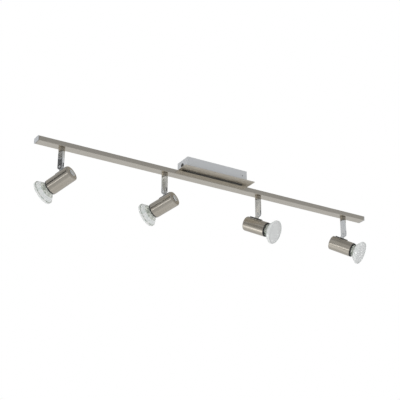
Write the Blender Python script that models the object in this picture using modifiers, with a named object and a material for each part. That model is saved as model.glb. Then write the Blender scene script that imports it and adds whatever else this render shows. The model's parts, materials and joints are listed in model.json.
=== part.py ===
"""Four-spot ceiling bar light, in metres, +Z up.

The origin is the middle of the canopy on the ceiling plane and everything hangs below it. X runs along
the rail. Each spot swivels about a vertical axis under the rail and tilts about a pin at the foot of its
arm, so its pieces are parented to two empties, one on each axis.
"""

from math import cos, pi, radians, sin

import bmesh
import bpy
from mathutils import Matrix, Vector

# Clearances
GAP = 0.0003
RUNNING_GAP = 0.0003

# Canopy: an open-topped box on a ceiling bracket, with a wider plate under it
BOX_LENGTH = 0.144
BOX_DEPTH = 0.043
BOX_HEIGHT = 0.0250
BOX_WALL = 0.0010
BOX_CORNER = 0.0020
PLATE_LENGTH = 0.167
PLATE_DEPTH = 0.067
PLATE_THICKNESS = 0.0012
PLATE_CORNER = 0.0012
BRACKET_WIDTH = 0.022
BRACKET_THICKNESS = 0.0015
BRACKET_EAR = 0.0170
BRACKET_SLOT_X = 0.036
BRACKET_SLOT_LENGTH = 0.014
BRACKET_SLOT_WIDTH = 0.0045
SIDE_SCREW_Z = -0.0120
SIDE_SCREW_RADIUS = 0.0020
SIDE_SCREW_HEAD = 0.0040
SIDE_SCREW_REACH = 0.0040
BOLT_X = 0.040
BOLT_RADIUS = 0.0045
BOLT_BORE = 0.0028
BOSS_RADIUS = 0.0085
BOLT_HEAD = 0.0068
BOLT_HEAD_HEIGHT = 0.0030
TERMINAL_SIZE = (0.0270, 0.0150, 0.0110)
TERMINAL_BORE = 0.0018

# Rail: a flat rectangular tube with a cap in each end
RAIL_LENGTH = 0.784
RAIL_DEPTH = 0.0200
RAIL_HEIGHT = 0.0100
RAIL_WALL = 0.0010
RAIL_CORNER = 0.0010
RAIL_TOP = -0.0295
CAP_THICKNESS = 0.0020
CAP_PLUG = 0.0100
HARNESS_RADIUS = 0.0013
HARNESS_Y = 0.0072
HARNESS_STOP = 0.0120

# Spots: heading from +X about the vertical, and dip of the lamp below the horizontal, in degrees
SPOT_SPACING = 0.2255
SPOT_AIMS = ((120.8, 22.7), (117.4, 17.8), (-57.6, 25.9), (-52.6, 27.6))

# Swivel and arm
COLLAR_RADIUS = 0.0064
COLLAR_HEIGHT = 0.0072
SWIVEL_RADIUS = 0.0028
SWIVEL_BORE = 0.0017
SWIVEL_HEAD = 0.0056
SWIVEL_HEAD_HEIGHT = 0.0030
SWIVEL_THREAD = 0.0080
ARM_WIDTH = 0.0115
ARM_THICKNESS = 0.0066
PIN_DROP = 0.0408
FORK_SLOT = 0.0038
FORK_RISE = 0.0088
PIN_RADIUS = 0.0014

# Head: a sleeve hung below the pin, with the lamp standing out of its mouth
HEAD_DROP = 0.0265
SLEEVE_RADIUS = 0.0155
SLEEVE_WALL = 0.0010
SLEEVE_REAR = -0.0186
SLEEVE_LENGTH = 0.0514
SLEEVE_ROUND = 0.0026
BUTTON_RADIUS = 0.0071
BUTTON_STEM = 0.0026
BUTTON_CROWN = 0.0015
SADDLE_LENGTH = 0.0280
SADDLE_THICKNESS = 0.0015
SADDLE_HALF_ANGLE = radians(19.0)
LUG_THICKNESS = 0.0031
LUG_WIDTH = 0.0084
KNUCKLE_RADIUS = 0.0046
RIVET_RADIUS = 0.0018
RIVET_FLANGE = 0.0009
RING_LIP = 0.0026
LAMP_STANDOUT = 0.0218
LAMP_RADIUS = 0.0250
LAMP_PIN_OFFSET = 0.0050
LAMP_PIN_HEAD = 0.0023
LAMP_TWIST = radians(20.0)

# Holders, rings and the lamp's own profile
HOLDER_RADIUS = 0.0118
HOLDER_LENGTH = 0.0130
HOLDER_STANDOFF = 0.0040
PIN_SLOT_DEPTH = 0.0080
REAR_SCREW_REACH = 0.0060
RING_BORE = 0.0136
RING_PLUG = 0.0060
LAMP_RIM = 0.0040
LENS_SEAT = 0.0030
LENS_RADIUS = 0.0239
CUP_DEPTH = 0.0162
CUP_WALL = 0.0014
CUP_MOUTH = 0.0236
CUP_WAIST = 0.0130
CUP_CURVE = 1.25
NECK_RADIUS = 0.0100
FOOT_RADIUS = 0.0084
NECK_START = 0.0280
NECK_END = 0.0340
LAMP_BASE = 0.0468
LAMP_PIN_STEM = 0.0014
LAMP_PIN_NECK = 0.0040
LAMP_PIN_LENGTH = 0.0062

# Facets on turned pieces
FINE = 20
PLAIN = 16
SMALL = 12
TINY = 10
SHARP_ANGLE = radians(35.0)

# Small allowances: how far a cutter reaches past a face, and the eased edge on small turned pieces
OVERCUT = 0.0030
EASE = 0.0006

RAIL_BOTTOM = RAIL_TOP - RAIL_HEIGHT
SLEEVE_MOUTH = SLEEVE_REAR + SLEEVE_LENGTH
LAMP_FACE = SLEEVE_MOUTH + LAMP_STANDOUT

for leftover in list(bpy.data.objects):
    bpy.data.objects.remove(leftover, do_unlink=True)

PARTS = bpy.data.collections.new("ceiling_bar_light")
CUTTERS = bpy.data.collections.new("cutters")
bpy.context.scene.collection.children.link(PARTS)
bpy.context.scene.collection.children.link(CUTTERS)
CUTTERS.hide_render = True


def finish(name, colour, roughness, metallic):
    """A plain Principled material."""
    material = bpy.data.materials.new(name)
    material.use_nodes = True
    shader = material.node_tree.nodes["Principled BSDF"]
    shader.inputs["Base Color"].default_value = (*colour, 1.0)
    shader.inputs["Roughness"].default_value = roughness
    shader.inputs["Metallic"].default_value = metallic
    return material


SATIN_NICKEL = finish("satin_nickel", (0.46, 0.43, 0.38), 0.36, 1.0)
CHROME = finish("polished_chrome", (0.72, 0.74, 0.76), 0.12, 1.0)
ZINC_STEEL = finish("zinc_plated_steel", (0.55, 0.56, 0.57), 0.42, 1.0)
SILVER_PAINT = finish("silver_paint", (0.42, 0.44, 0.45), 0.50, 0.4)
BLACK_PLASTIC = finish("black_plastic", (0.015, 0.015, 0.016), 0.45, 0.0)
DARK_STEEL = finish("dark_steel", (0.12, 0.12, 0.12), 0.40, 0.8)
CERAMIC = finish("white_ceramic", (0.80, 0.78, 0.73), 0.35, 0.0)
CLEAR_GLASS = finish("clear_glass", (0.84, 0.88, 0.88), 0.05, 0.0)
REFLECTOR_GLASS = finish("coated_reflector_glass", (0.70, 0.74, 0.72), 0.10, 0.6)


# --- small makers -----------------------------------------------------------------------------------


def place(obj, collection, material=None, location=(0.0, 0.0, 0.0), rotation=(0.0, 0.0, 0.0), parent=None):
    """Puts an object in its collection, gives it its material and sets it under its parent."""
    collection.objects.link(obj)
    obj.location = location
    obj.rotation_euler = rotation
    obj.parent = parent
    if material is not None:
        obj.data.materials.append(material)
    if collection is CUTTERS:
        obj.hide_render = True
        obj.display_type = "WIRE"
    return obj


def from_bmesh(name, bm):
    """A mesh object from a bmesh, with its normals facing out and round faces shaded smooth."""
    bmesh.ops.recalc_face_normals(bm, faces=bm.faces)
    mesh = bpy.data.meshes.new(name)
    bm.to_mesh(mesh)
    bm.free()
    mesh.shade_smooth()
    mesh.set_sharp_from_angle(angle=SHARP_ANGLE)
    return bpy.data.objects.new(name, mesh)


def block(name, low, high):
    """A box between two corners."""
    low, high = Vector(low), Vector(high)
    bm = bmesh.new()
    bmesh.ops.create_cube(bm, size=1.0)
    bmesh.ops.scale(bm, vec=high - low, verts=bm.verts)
    bmesh.ops.translate(bm, vec=(low + high) / 2, verts=bm.verts)
    return from_bmesh(name, bm)


def bar(name, size, centre, corner):
    """A straight bar along X whose four long edges are rounded."""
    bm = bmesh.new()
    bmesh.ops.create_cube(bm, size=1.0)
    bmesh.ops.scale(bm, vec=size, verts=bm.verts)
    bmesh.ops.translate(bm, vec=centre, verts=bm.verts)
    long_edges = [edge for edge in bm.edges if abs(edge.verts[0].co.x - edge.verts[1].co.x) > size[0] / 2]
    bmesh.ops.bevel(bm, geom=long_edges, offset=corner, segments=2, profile=0.5, affect="EDGES")
    return from_bmesh(name, bm)


def rod(name, radius, start, end, facets=SMALL):
    """A solid round bar between two points."""
    start, end = Vector(start), Vector(end)
    axis = end - start
    turn = Vector((0.0, 0.0, 1.0)).rotation_difference(axis).to_matrix().to_4x4()
    bm = bmesh.new()
    bmesh.ops.create_cone(
        bm, cap_ends=True, segments=facets, radius1=radius, radius2=radius, depth=axis.length,
        matrix=Matrix.Translation((start + end) / 2) @ turn,
    )
    return from_bmesh(name, bm)


def turned(name, profile, facets=PLAIN, closed=False):
    """A shape turned about local Z from (radius, height) points that run down its outer side."""
    mesh = bpy.data.meshes.new(name)
    count = len(profile)
    edges = [(i, i + 1) for i in range(count - 1)]
    if closed:
        edges.append((count - 1, 0))
    mesh.from_pydata([(radius, 0.0, height) for radius, height in profile], edges, [])
    obj = bpy.data.objects.new(name, mesh)
    screw = obj.modifiers.new("turn", "SCREW")
    screw.axis = "Z"
    screw.steps = facets
    screw.render_steps = facets
    screw.use_merge_vertices = True
    screw.merge_threshold = 0.00001
    screw.use_smooth_shade = True
    return obj


def arc(centre, radius, start, end, steps):
    """Points on an arc, angles in radians, both ends included."""
    angles = [start + (end - start) * i / steps for i in range(steps + 1)]
    return [(centre[0] + radius * cos(a), centre[1] + radius * sin(a)) for a in angles]


def rounded_rectangle(width, height, radius, steps=2):
    """The outline of a rectangle with round corners, about its middle."""
    x, y = width / 2 - radius, height / 2 - radius
    corners = ((x, y, 0.0), (-x, y, pi / 2), (-x, -y, pi), (x, -y, 3 * pi / 2))
    points = []
    for cx, cy, turn in corners:
        points += arc((cx, cy), radius, turn, turn + pi / 2, steps)
    return points


def extruded(name, outline, thickness, rotation=(0.0, 0.0, 0.0), offset=(0.0, 0.0, 0.0)):
    """A flat outline extruded about its plane, made a mesh, turned and moved."""
    curve = bpy.data.curves.new(name, "CURVE")
    curve.dimensions = "2D"
    curve.fill_mode = "BOTH"
    curve.extrude = thickness / 2
    spline = curve.splines.new("POLY")
    spline.points.add(len(outline) - 1)
    for point, (x, y) in zip(spline.points, outline):
        point.co = (x, y, 0.0, 1.0)
    spline.use_cyclic_u = True
    guide = bpy.data.objects.new(name + "_outline", curve)
    bpy.context.scene.collection.objects.link(guide)
    graph = bpy.context.evaluated_depsgraph_get()
    mesh = bpy.data.meshes.new_from_object(guide.evaluated_get(graph))
    bpy.data.objects.remove(guide, do_unlink=True)
    bm = bmesh.new()
    bm.from_mesh(mesh)
    bmesh.ops.remove_doubles(bm, verts=bm.verts, dist=0.00001)
    spin = Matrix.Rotation(rotation[2], 4, "Z") @ Matrix.Rotation(rotation[1], 4, "Y")
    bm.transform(Matrix.Translation(offset) @ spin @ Matrix.Rotation(rotation[0], 4, "X"))
    return from_bmesh(name, bm)


def bevel(obj, width, segments=1):
    """Eases an object's sharp edges."""
    ease = obj.modifiers.new("ease", "BEVEL")
    ease.width = width
    ease.segments = segments
    ease.limit_method = "ANGLE"
    ease.angle_limit = radians(40.0)
    return obj


def boolean(obj, tool, operation, parent=None):
    """Cuts or joins a hidden tool into an object."""
    place(tool, CUTTERS, location=obj.location, rotation=obj.rotation_euler, parent=parent)
    step = obj.modifiers.new(operation.lower(), "BOOLEAN")
    step.operation = operation
    step.solver = "EXACT"
    step.object = tool


def axis_empty(name, location, rotation, parent=None):
    """An empty on a joint's axis."""
    empty = bpy.data.objects.new(name, None)
    empty.empty_display_size = 0.02
    return place(empty, PARTS, location=location, rotation=rotation, parent=parent)


# --- canopy -----------------------------------------------------------------------------------------


def make_ceiling_bracket():
    """A steel strip on the ceiling with an ear bent down at each end."""
    half = BOX_LENGTH / 2 - BOX_WALL - 2 * GAP
    inner = half - BRACKET_THICKNESS
    top, under, foot = 0.0, -BRACKET_THICKNESS, -BRACKET_EAR
    outline = [
        (-half, foot), (-inner, foot), (-inner, under), (inner, under),
        (inner, foot), (half, foot), (half, top), (-half, top),
    ]
    bracket = extruded("ceiling_bracket", outline, BRACKET_WIDTH, rotation=(pi / 2, 0.0, 0.0))
    place(bracket, PARTS, ZINC_STEEL)
    for side in (-1, 1):
        reach = BRACKET_SLOT_LENGTH / 2
        low = (side * BRACKET_SLOT_X - reach, -BRACKET_SLOT_WIDTH / 2, -OVERCUT)
        high = (side * BRACKET_SLOT_X + reach, BRACKET_SLOT_WIDTH / 2, OVERCUT)
        boolean(bracket, block("bracket_slot", low, high), "DIFFERENCE")
        start = (side * (inner - OVERCUT), 0.0, SIDE_SCREW_Z)
        end = (side * (half + OVERCUT), 0.0, SIDE_SCREW_Z)
        hole = rod("ear_hole", SIDE_SCREW_RADIUS + RUNNING_GAP, start, end)
        boolean(bracket, hole, "DIFFERENCE")


def make_canopy_box():
    """A sheet steel box, open towards the ceiling."""
    bm = bmesh.new()
    bmesh.ops.create_cube(bm, size=1.0)
    bmesh.ops.scale(bm, vec=(BOX_LENGTH, BOX_DEPTH, BOX_HEIGHT), verts=bm.verts)
    bmesh.ops.translate(bm, vec=(0.0, 0.0, -BOX_HEIGHT / 2), verts=bm.verts)
    bm.faces.ensure_lookup_table()
    lid = [face for face in bm.faces if face.normal.z > 0.9]
    bmesh.ops.delete(bm, geom=lid, context="FACES_ONLY")
    folds = [edge for edge in bm.edges if not edge.is_boundary]
    bmesh.ops.bevel(bm, geom=folds, offset=BOX_CORNER, segments=2, profile=0.5, affect="EDGES")
    mesh = bpy.data.meshes.new("canopy_box")
    bm.to_mesh(mesh)
    bm.free()
    box = bpy.data.objects.new("canopy_box", mesh)
    place(box, PARTS, SILVER_PAINT)
    shell = box.modifiers.new("sheet", "SOLIDIFY")
    shell.thickness = BOX_WALL
    shell.offset = -1.0
    shell.use_even_offset = True
    for side in (-1, 1):
        start = (side * (BOX_LENGTH / 2 - OVERCUT), 0.0, SIDE_SCREW_Z)
        end = (side * (BOX_LENGTH / 2 + OVERCUT), 0.0, SIDE_SCREW_Z)
        boolean(box, rod("side_hole", SIDE_SCREW_RADIUS + RUNNING_GAP, start, end), "DIFFERENCE")
        floor = -BOX_HEIGHT
        start, end = (side * BOLT_X, 0.0, floor - OVERCUT), (side * BOLT_X, 0.0, floor + OVERCUT)
        boolean(box, rod("bolt_hole", BOLT_RADIUS + GAP, start, end), "DIFFERENCE")


def make_canopy_plate():
    """The wider plate under the box, with two bosses that hold the rail off it."""
    outline = rounded_rectangle(PLATE_LENGTH, PLATE_DEPTH, PLATE_CORNER)
    top = -BOX_HEIGHT - GAP
    middle = top - PLATE_THICKNESS / 2
    plate = extruded("canopy_plate", outline, PLATE_THICKNESS, offset=(0.0, 0.0, middle))
    place(plate, PARTS, SATIN_NICKEL)
    for side in (-1, 1):
        centre = side * BOLT_X
        boss = rod("boss", BOSS_RADIUS, (centre, 0.0, middle), (centre, 0.0, RAIL_TOP + GAP), PLAIN)
        boolean(plate, boss, "UNION")
        start, end = (centre, 0.0, top + OVERCUT), (centre, 0.0, RAIL_TOP - OVERCUT)
        hole = rod("boss_hole", BOLT_RADIUS + GAP, start, end)
        boolean(plate, hole, "DIFFERENCE")


def make_canopy_bolt(name, side):
    """A hollow bolt from the box floor into the rail, with the spot wires running through it."""
    head_top, head_under = BOLT_HEAD_HEIGHT + GAP, GAP
    floor = -BOX_HEIGHT + BOX_WALL
    tip = RAIL_TOP - 2 * RAIL_WALL - floor
    profile = [
        (BOLT_BORE, head_top), (BOLT_HEAD, head_top), (BOLT_HEAD, head_under),
        (BOLT_RADIUS, head_under), (BOLT_RADIUS, tip), (BOLT_BORE, tip),
    ]
    bolt = turned(name, profile, facets=SMALL, closed=True)
    place(bolt, PARTS, ZINC_STEEL, location=(side * BOLT_X, 0.0, floor))


def make_side_screw(name, side):
    """A screw through the end of the box into the bracket's ear."""
    stem = BOX_WALL + BRACKET_THICKNESS + SIDE_SCREW_REACH
    crown = SIDE_SCREW_HEAD / 2
    profile = [
        (0.0, crown), (crown, crown - GAP), (SIDE_SCREW_HEAD, crown / 2), (SIDE_SCREW_HEAD, GAP),
        (SIDE_SCREW_RADIUS, GAP), (SIDE_SCREW_RADIUS, -stem), (0.0, -stem),
    ]
    screw = turned(name, profile, facets=SMALL)
    location = (side * BOX_LENGTH / 2, 0.0, SIDE_SCREW_Z)
    place(screw, PARTS, DARK_STEEL, location=location, rotation=(0.0, side * pi / 2, 0.0))


def make_terminal_block():
    """A three-pole terminal block under the middle of the bracket."""
    length, depth, height = TERMINAL_SIZE
    top = -BRACKET_THICKNESS - 2 * GAP
    low = (-length / 2, -depth / 2, top - height)
    terminal = block("terminal_block", low, (length / 2, depth / 2, top))
    bevel(terminal, EASE)
    place(terminal, PARTS, CERAMIC)
    for pole in (-1, 0, 1):
        x, z = pole * length / 3, top - height / 2
        way = rod("wire_way", TERMINAL_BORE, (x, -depth, z), (x, depth, z), TINY)
        boolean(terminal, way, "DIFFERENCE")


# --- rail -------------------------------------------------------------------------------------------


def make_rail():
    """The rectangular tube, with holes for the canopy bolts above and the swivel bolts below."""
    middle = (0.0, 0.0, RAIL_TOP - RAIL_HEIGHT / 2)
    length = RAIL_LENGTH - 2 * (CAP_THICKNESS + GAP)
    rail = bar("rail", (length, RAIL_DEPTH, RAIL_HEIGHT), middle, RAIL_CORNER)
    place(rail, PARTS, SATIN_NICKEL)
    wall = 2 * RAIL_WALL
    hollow = (RAIL_LENGTH, RAIL_DEPTH - wall, RAIL_HEIGHT - wall)
    boolean(rail, bar("rail_hollow", hollow, middle, RAIL_CORNER / 2), "DIFFERENCE")
    for side in (-1, 1):
        x = side * BOLT_X
        start, end = (x, 0.0, RAIL_TOP - OVERCUT), (x, 0.0, RAIL_TOP + OVERCUT)
        hole = rod("rail_bolt_hole", BOLT_RADIUS + GAP, start, end)
        boolean(rail, hole, "DIFFERENCE")
    for x in spot_positions():
        start, end = (x, 0.0, RAIL_BOTTOM - OVERCUT), (x, 0.0, RAIL_BOTTOM + OVERCUT)
        hole = rod("swivel_hole", SWIVEL_RADIUS + RUNNING_GAP, start, end)
        boolean(rail, hole, "DIFFERENCE")


def make_end_cap(name, side):
    """A cap with a plug that goes into the tube."""
    z = RAIL_TOP - RAIL_HEIGHT / 2
    x = side * (RAIL_LENGTH - CAP_THICKNESS) / 2
    cap = bar(name, (CAP_THICKNESS, RAIL_DEPTH, RAIL_HEIGHT), (x, 0.0, z), RAIL_CORNER)
    place(cap, PARTS, SILVER_PAINT)
    inset = 2 * (RAIL_WALL + GAP)
    x = side * (RAIL_LENGTH / 2 - CAP_THICKNESS / 2 - CAP_PLUG / 2)
    plug = (CAP_PLUG, RAIL_DEPTH - inset, RAIL_HEIGHT - inset)
    boolean(cap, bar("plug", plug, (x, 0.0, z), RAIL_CORNER / 2), "UNION")


def make_rail_harness():
    """The sheathed wires that run along the inside of the rail."""
    reach = RAIL_LENGTH / 2 - CAP_THICKNESS - CAP_PLUG - HARNESS_STOP
    curve = bpy.data.curves.new("rail_harness", "CURVE")
    curve.dimensions = "3D"
    curve.bevel_depth = HARNESS_RADIUS
    curve.bevel_resolution = 1
    curve.use_fill_caps = True
    spline = curve.splines.new("POLY")
    spline.points.add(1)
    for point, side in zip(spline.points, (-1, 1)):
        point.co = (side * reach, HARNESS_Y, RAIL_TOP - RAIL_HEIGHT / 2, 1.0)
    place(bpy.data.objects.new("rail_harness", curve), PARTS, BLACK_PLASTIC)


# --- one spot ---------------------------------------------------------------------------------------


def spot_positions():
    """Where the four swivel axes stand along the rail."""
    count = len(SPOT_AIMS)
    return [(i - (count - 1) / 2) * SPOT_SPACING for i in range(count)]


def make_collar(number, x):
    """The turned collar between the rail and the arm. It stays with the rail."""
    top, foot, bore = -GAP, -GAP - COLLAR_HEIGHT, SWIVEL_RADIUS + RUNNING_GAP
    profile = [
        (bore, top), (COLLAR_RADIUS, top), (COLLAR_RADIUS, foot + EASE),
        (COLLAR_RADIUS - EASE, foot), (bore, foot),
    ]
    collar = turned(f"swivel_collar_{number}", profile, closed=True)
    place(collar, PARTS, SATIN_NICKEL, location=(x, 0.0, RAIL_BOTTOM))


def make_swivel_bolt(number, swivel):
    """The hollow bolt that hangs the arm from the rail's lower wall."""
    head_under = RAIL_WALL + RUNNING_GAP
    head_top = head_under + SWIVEL_HEAD_HEIGHT
    foot = -COLLAR_HEIGHT - 2 * GAP - SWIVEL_THREAD
    profile = [
        (SWIVEL_BORE, head_top), (SWIVEL_HEAD, head_top), (SWIVEL_HEAD, head_under),
        (SWIVEL_RADIUS - GAP, head_under), (SWIVEL_RADIUS - GAP, foot), (SWIVEL_BORE, foot),
    ]
    bolt = turned(f"swivel_bolt_{number}", profile, facets=SMALL, closed=True)
    place(bolt, PARTS, ZINC_STEEL, parent=swivel)


def make_arm(number, swivel):
    """The flat chrome arm: a bore for the bolt and the wires above, and a fork for the lug below."""
    half = ARM_WIDTH / 2
    top = -COLLAR_HEIGHT - 2 * GAP - RUNNING_GAP
    outline = [(half, top), (-half, top)] + arc((0.0, -PIN_DROP), half, pi, 2 * pi, 8)
    arm = extruded(f"arm_{number}", outline, ARM_THICKNESS, rotation=(pi / 2, 0.0, 0.0))
    place(arm, PARTS, CHROME, parent=swivel)
    thread_end = top - SWIVEL_THREAD - EASE
    socket = rod("bolt_socket", SWIVEL_RADIUS, (0.0, 0.0, top + OVERCUT), (0.0, 0.0, thread_end))
    boolean(arm, socket, "DIFFERENCE", swivel)
    fork_top = -PIN_DROP + FORK_RISE
    wire_way = rod("wire_way", SWIVEL_BORE, (0.0, 0.0, top), (0.0, 0.0, fork_top - EASE), TINY)
    boolean(arm, wire_way, "DIFFERENCE", swivel)
    slot_low = (-ARM_WIDTH, -FORK_SLOT / 2, -PIN_DROP - ARM_WIDTH)
    slot = block("fork_slot", slot_low, (ARM_WIDTH, FORK_SLOT / 2, fork_top))
    boolean(arm, slot, "DIFFERENCE", swivel)
    reach = ARM_THICKNESS
    hole = rod("pin_hole", PIN_RADIUS + GAP, (0.0, -reach, -PIN_DROP), (0.0, reach, -PIN_DROP))
    boolean(arm, hole, "DIFFERENCE", swivel)


def make_tilt_pin(number, swivel):
    """The riveted pin across the fork."""
    reach = ARM_THICKNESS / 2 + GAP
    head, crown = PIN_RADIUS + RIVET_FLANGE, EASE
    profile = [
        (0.0, reach + crown), (PIN_RADIUS, reach + crown), (head, reach), (PIN_RADIUS, reach),
        (PIN_RADIUS, -reach), (head, -reach), (PIN_RADIUS, -reach - crown), (0.0, -reach - crown),
    ]
    pin = turned(f"tilt_pin_{number}", profile, facets=SMALL)
    location, rotation = (0.0, 0.0, -PIN_DROP), (pi / 2, 0.0, 0.0)
    place(pin, PARTS, CHROME, location=location, rotation=rotation, parent=swivel)


def make_head_lug(number, tilt):
    """The lug: a knuckle on the pin, a strap, and a rivet end that holds the saddle to the sleeve."""
    foot = -HEAD_DROP + SLEEVE_RADIUS + SADDLE_THICKNESS + 2 * GAP
    half = LUG_WIDTH / 2
    meet = radians(24.0)
    outline = arc((0.0, 0.0), KNUCKLE_RADIUS, -meet, pi + meet, 12) + [(-half, foot), (half, foot)]
    lug = extruded(f"head_lug_{number}", outline, LUG_THICKNESS, rotation=(pi / 2, 0.0, 0.0))
    place(lug, PARTS, CHROME, parent=tilt)
    rivet_end = -HEAD_DROP + SLEEVE_RADIUS - SLEEVE_WALL - 3 * GAP
    stem = rod("stem", RIVET_RADIUS, (0.0, 0.0, foot + EASE), (0.0, 0.0, rivet_end - EASE))
    boolean(lug, stem, "UNION", tilt)
    tail_start, tail_end = (0.0, 0.0, rivet_end), (0.0, 0.0, rivet_end - RIVET_FLANGE)
    boolean(lug, rod("tail", RIVET_RADIUS + RIVET_FLANGE, tail_start, tail_end), "UNION", tilt)
    reach = LUG_THICKNESS
    hole = rod("lug_hole", PIN_RADIUS + RUNNING_GAP, (0.0, -reach, 0.0), (0.0, reach, 0.0))
    boolean(lug, hole, "DIFFERENCE", tilt)


def make_saddle(number, tilt):
    """The curved pad that spreads the lug's load along the top of the sleeve."""
    inner, steps = SLEEVE_RADIUS + GAP, 4
    low, high = pi / 2 - SADDLE_HALF_ANGLE, pi / 2 + SADDLE_HALF_ANGLE
    outline = arc((0.0, 0.0), inner, high, low, steps)
    outline += arc((0.0, 0.0), inner + SADDLE_THICKNESS, low, high, steps)
    turn = (pi / 2, 0.0, pi / 2)
    axis = (0.0, 0.0, -HEAD_DROP)
    saddle = extruded(f"head_saddle_{number}", outline, SADDLE_LENGTH, rotation=turn, offset=axis)
    place(saddle, PARTS, DARK_STEEL, parent=tilt)
    boolean(saddle, rod("saddle_hole", RIVET_RADIUS + GAP, (0.0, 0.0, 0.0), axis), "DIFFERENCE", tilt)


def turned_on_axis(obj, material, x, tilt):
    """Sets a turned head piece on the sleeve's axis, its local Z pointing out of the mouth."""
    return place(obj, PARTS, material, (x, 0.0, -HEAD_DROP), (0.0, pi / 2, 0.0), tilt)


def make_sleeve(number, tilt):
    """The round sleeve, open at the mouth, with a hole in its rear wall."""
    inside, hole = SLEEVE_RADIUS - SLEEVE_WALL, BUTTON_STEM + GAP
    outer_bend = arc((SLEEVE_RADIUS - SLEEVE_ROUND, SLEEVE_ROUND), SLEEVE_ROUND, 0.0, -pi / 2, 4)
    bend = SLEEVE_ROUND - SLEEVE_WALL
    inner_bend = arc((inside - bend, SLEEVE_ROUND), bend, -pi / 2, 0.0, 3)
    profile = [(inside, SLEEVE_LENGTH), (SLEEVE_RADIUS, SLEEVE_LENGTH)] + outer_bend
    profile += [(hole, 0.0), (hole, SLEEVE_WALL)] + inner_bend
    sleeve = turned(f"sleeve_{number}", profile, facets=FINE, closed=True)
    turned_on_axis(sleeve, SATIN_NICKEL, SLEEVE_REAR, tilt)
    # Local X points down in the head's frame, so the rivet hole is on the sleeve's -X side.
    along = -SLEEVE_REAR
    start, end = (-SLEEVE_RADIUS - OVERCUT, 0.0, along), (OVERCUT - inside, 0.0, along)
    boolean(sleeve, rod("rivet_hole", RIVET_RADIUS + GAP, start, end), "DIFFERENCE", tilt)


def make_rear_button(number, tilt):
    """The chrome screw cap in the middle of the sleeve's rear wall."""
    crown, stem = -BUTTON_CROWN, SLEEVE_WALL + REAR_SCREW_REACH
    profile = [
        (0.0, stem), (BUTTON_STEM, stem), (BUTTON_STEM, -GAP), (BUTTON_RADIUS, -GAP),
        (BUTTON_RADIUS, crown + EASE), (BUTTON_RADIUS - EASE, crown), (0.0, crown - GAP),
    ]
    button = turned(f"rear_button_{number}", profile, facets=PLAIN)
    turned_on_axis(button, CHROME, SLEEVE_REAR, tilt)


def make_lamp_holder(number, tilt):
    """The ceramic lamp holder, with a slot for each lamp pin and a blind hole for the rear screw."""
    profile = [
        (0.0, HOLDER_LENGTH), (HOLDER_RADIUS - EASE, HOLDER_LENGTH), (HOLDER_RADIUS, HOLDER_LENGTH - EASE),
        (HOLDER_RADIUS, EASE), (HOLDER_RADIUS - EASE, 0.0), (0.0, 0.0),
    ]
    holder = turned(f"lamp_holder_{number}", profile, facets=PLAIN)
    turned_on_axis(holder, CERAMIC, SLEEVE_REAR + HOLDER_STANDOFF, tilt)
    screw_end = SLEEVE_WALL + REAR_SCREW_REACH - HOLDER_STANDOFF + GAP
    screw_hole = rod("screw_hole", BUTTON_STEM + GAP, (0.0, 0.0, -OVERCUT), (0.0, 0.0, screw_end))
    boolean(holder, screw_hole, "DIFFERENCE", tilt)
    room = LAMP_PIN_HEAD + GAP
    travel = LAMP_PIN_OFFSET * sin(LAMP_TWIST)
    for side in (-1, 1):
        y = side * LAMP_PIN_OFFSET
        near, far = -side * (room + travel), side * room
        low = (min(near, far), y - room, HOLDER_LENGTH - PIN_SLOT_DEPTH)
        slot = block("pin_slot", low, (max(near, far), y + room, HOLDER_LENGTH + OVERCUT))
        boolean(holder, slot, "DIFFERENCE", tilt)


def make_mouth_ring(number, tilt):
    """The black ring pressed into the mouth, its lip standing out."""
    seat = SLEEVE_LENGTH + GAP
    lip, tail = seat + RING_LIP, SLEEVE_LENGTH - RING_PLUG
    outer, plug = SLEEVE_RADIUS - GAP, SLEEVE_RADIUS - SLEEVE_WALL - GAP
    profile = [
        (RING_BORE, lip), (outer - EASE, lip), (outer, lip - EASE), (outer, seat),
        (plug, seat), (plug, tail), (RING_BORE, tail),
    ]
    ring = turned(f"mouth_ring_{number}", profile, facets=FINE, closed=True)
    turned_on_axis(ring, BLACK_PLASTIC, SLEEVE_REAR, tilt)


def make_lamp(number, tilt):
    """The reflector lamp: a glass cup, its stepped base and two headed pins, in one piece."""
    outside = [(r, -z) for z, r in flare(LAMP_RIM + EASE, CUP_DEPTH, CUP_MOUTH, CUP_WAIST, 4)]
    hollow_mouth, hollow_waist = CUP_MOUTH - CUP_WALL, CUP_WAIST - CUP_WALL
    inside = [(r, -z) for z, r in flare(LENS_SEAT, CUP_DEPTH - CUP_WALL, hollow_mouth, hollow_waist, 3)]
    profile = [(0.0, -CUP_DEPTH)] + inside[::-1]
    profile += [(LENS_RADIUS, -LENS_SEAT), (LENS_RADIUS, 0.0), (LAMP_RADIUS - EASE, 0.0)]
    profile += [(LAMP_RADIUS, -EASE), (LAMP_RADIUS, -LAMP_RIM)]
    profile += outside
    profile += [(CUP_WAIST - EASE, 2 * EASE - NECK_START), (NECK_RADIUS, -NECK_START)]
    profile += [(NECK_RADIUS, -NECK_END), (FOOT_RADIUS, -NECK_END - EASE)]
    profile += [(FOOT_RADIUS, -LAMP_BASE), (0.0, -LAMP_BASE)]
    lamp = turned(f"lamp_{number}", profile, facets=FINE)
    turned_on_axis(lamp, REFLECTOR_GLASS, LAMP_FACE, tilt)
    for side in (-1, 1):
        y = side * LAMP_PIN_OFFSET
        neck = -LAMP_BASE - LAMP_PIN_NECK
        stem = rod("pin_stem", LAMP_PIN_STEM, (0.0, y, EASE - LAMP_BASE), (0.0, y, neck - EASE), TINY)
        boolean(lamp, stem, "UNION", tilt)
        head = rod("pin_head", LAMP_PIN_HEAD, (0.0, y, neck), (0.0, y, -LAMP_BASE - LAMP_PIN_LENGTH), TINY)
        boolean(lamp, head, "UNION", tilt)


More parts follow.
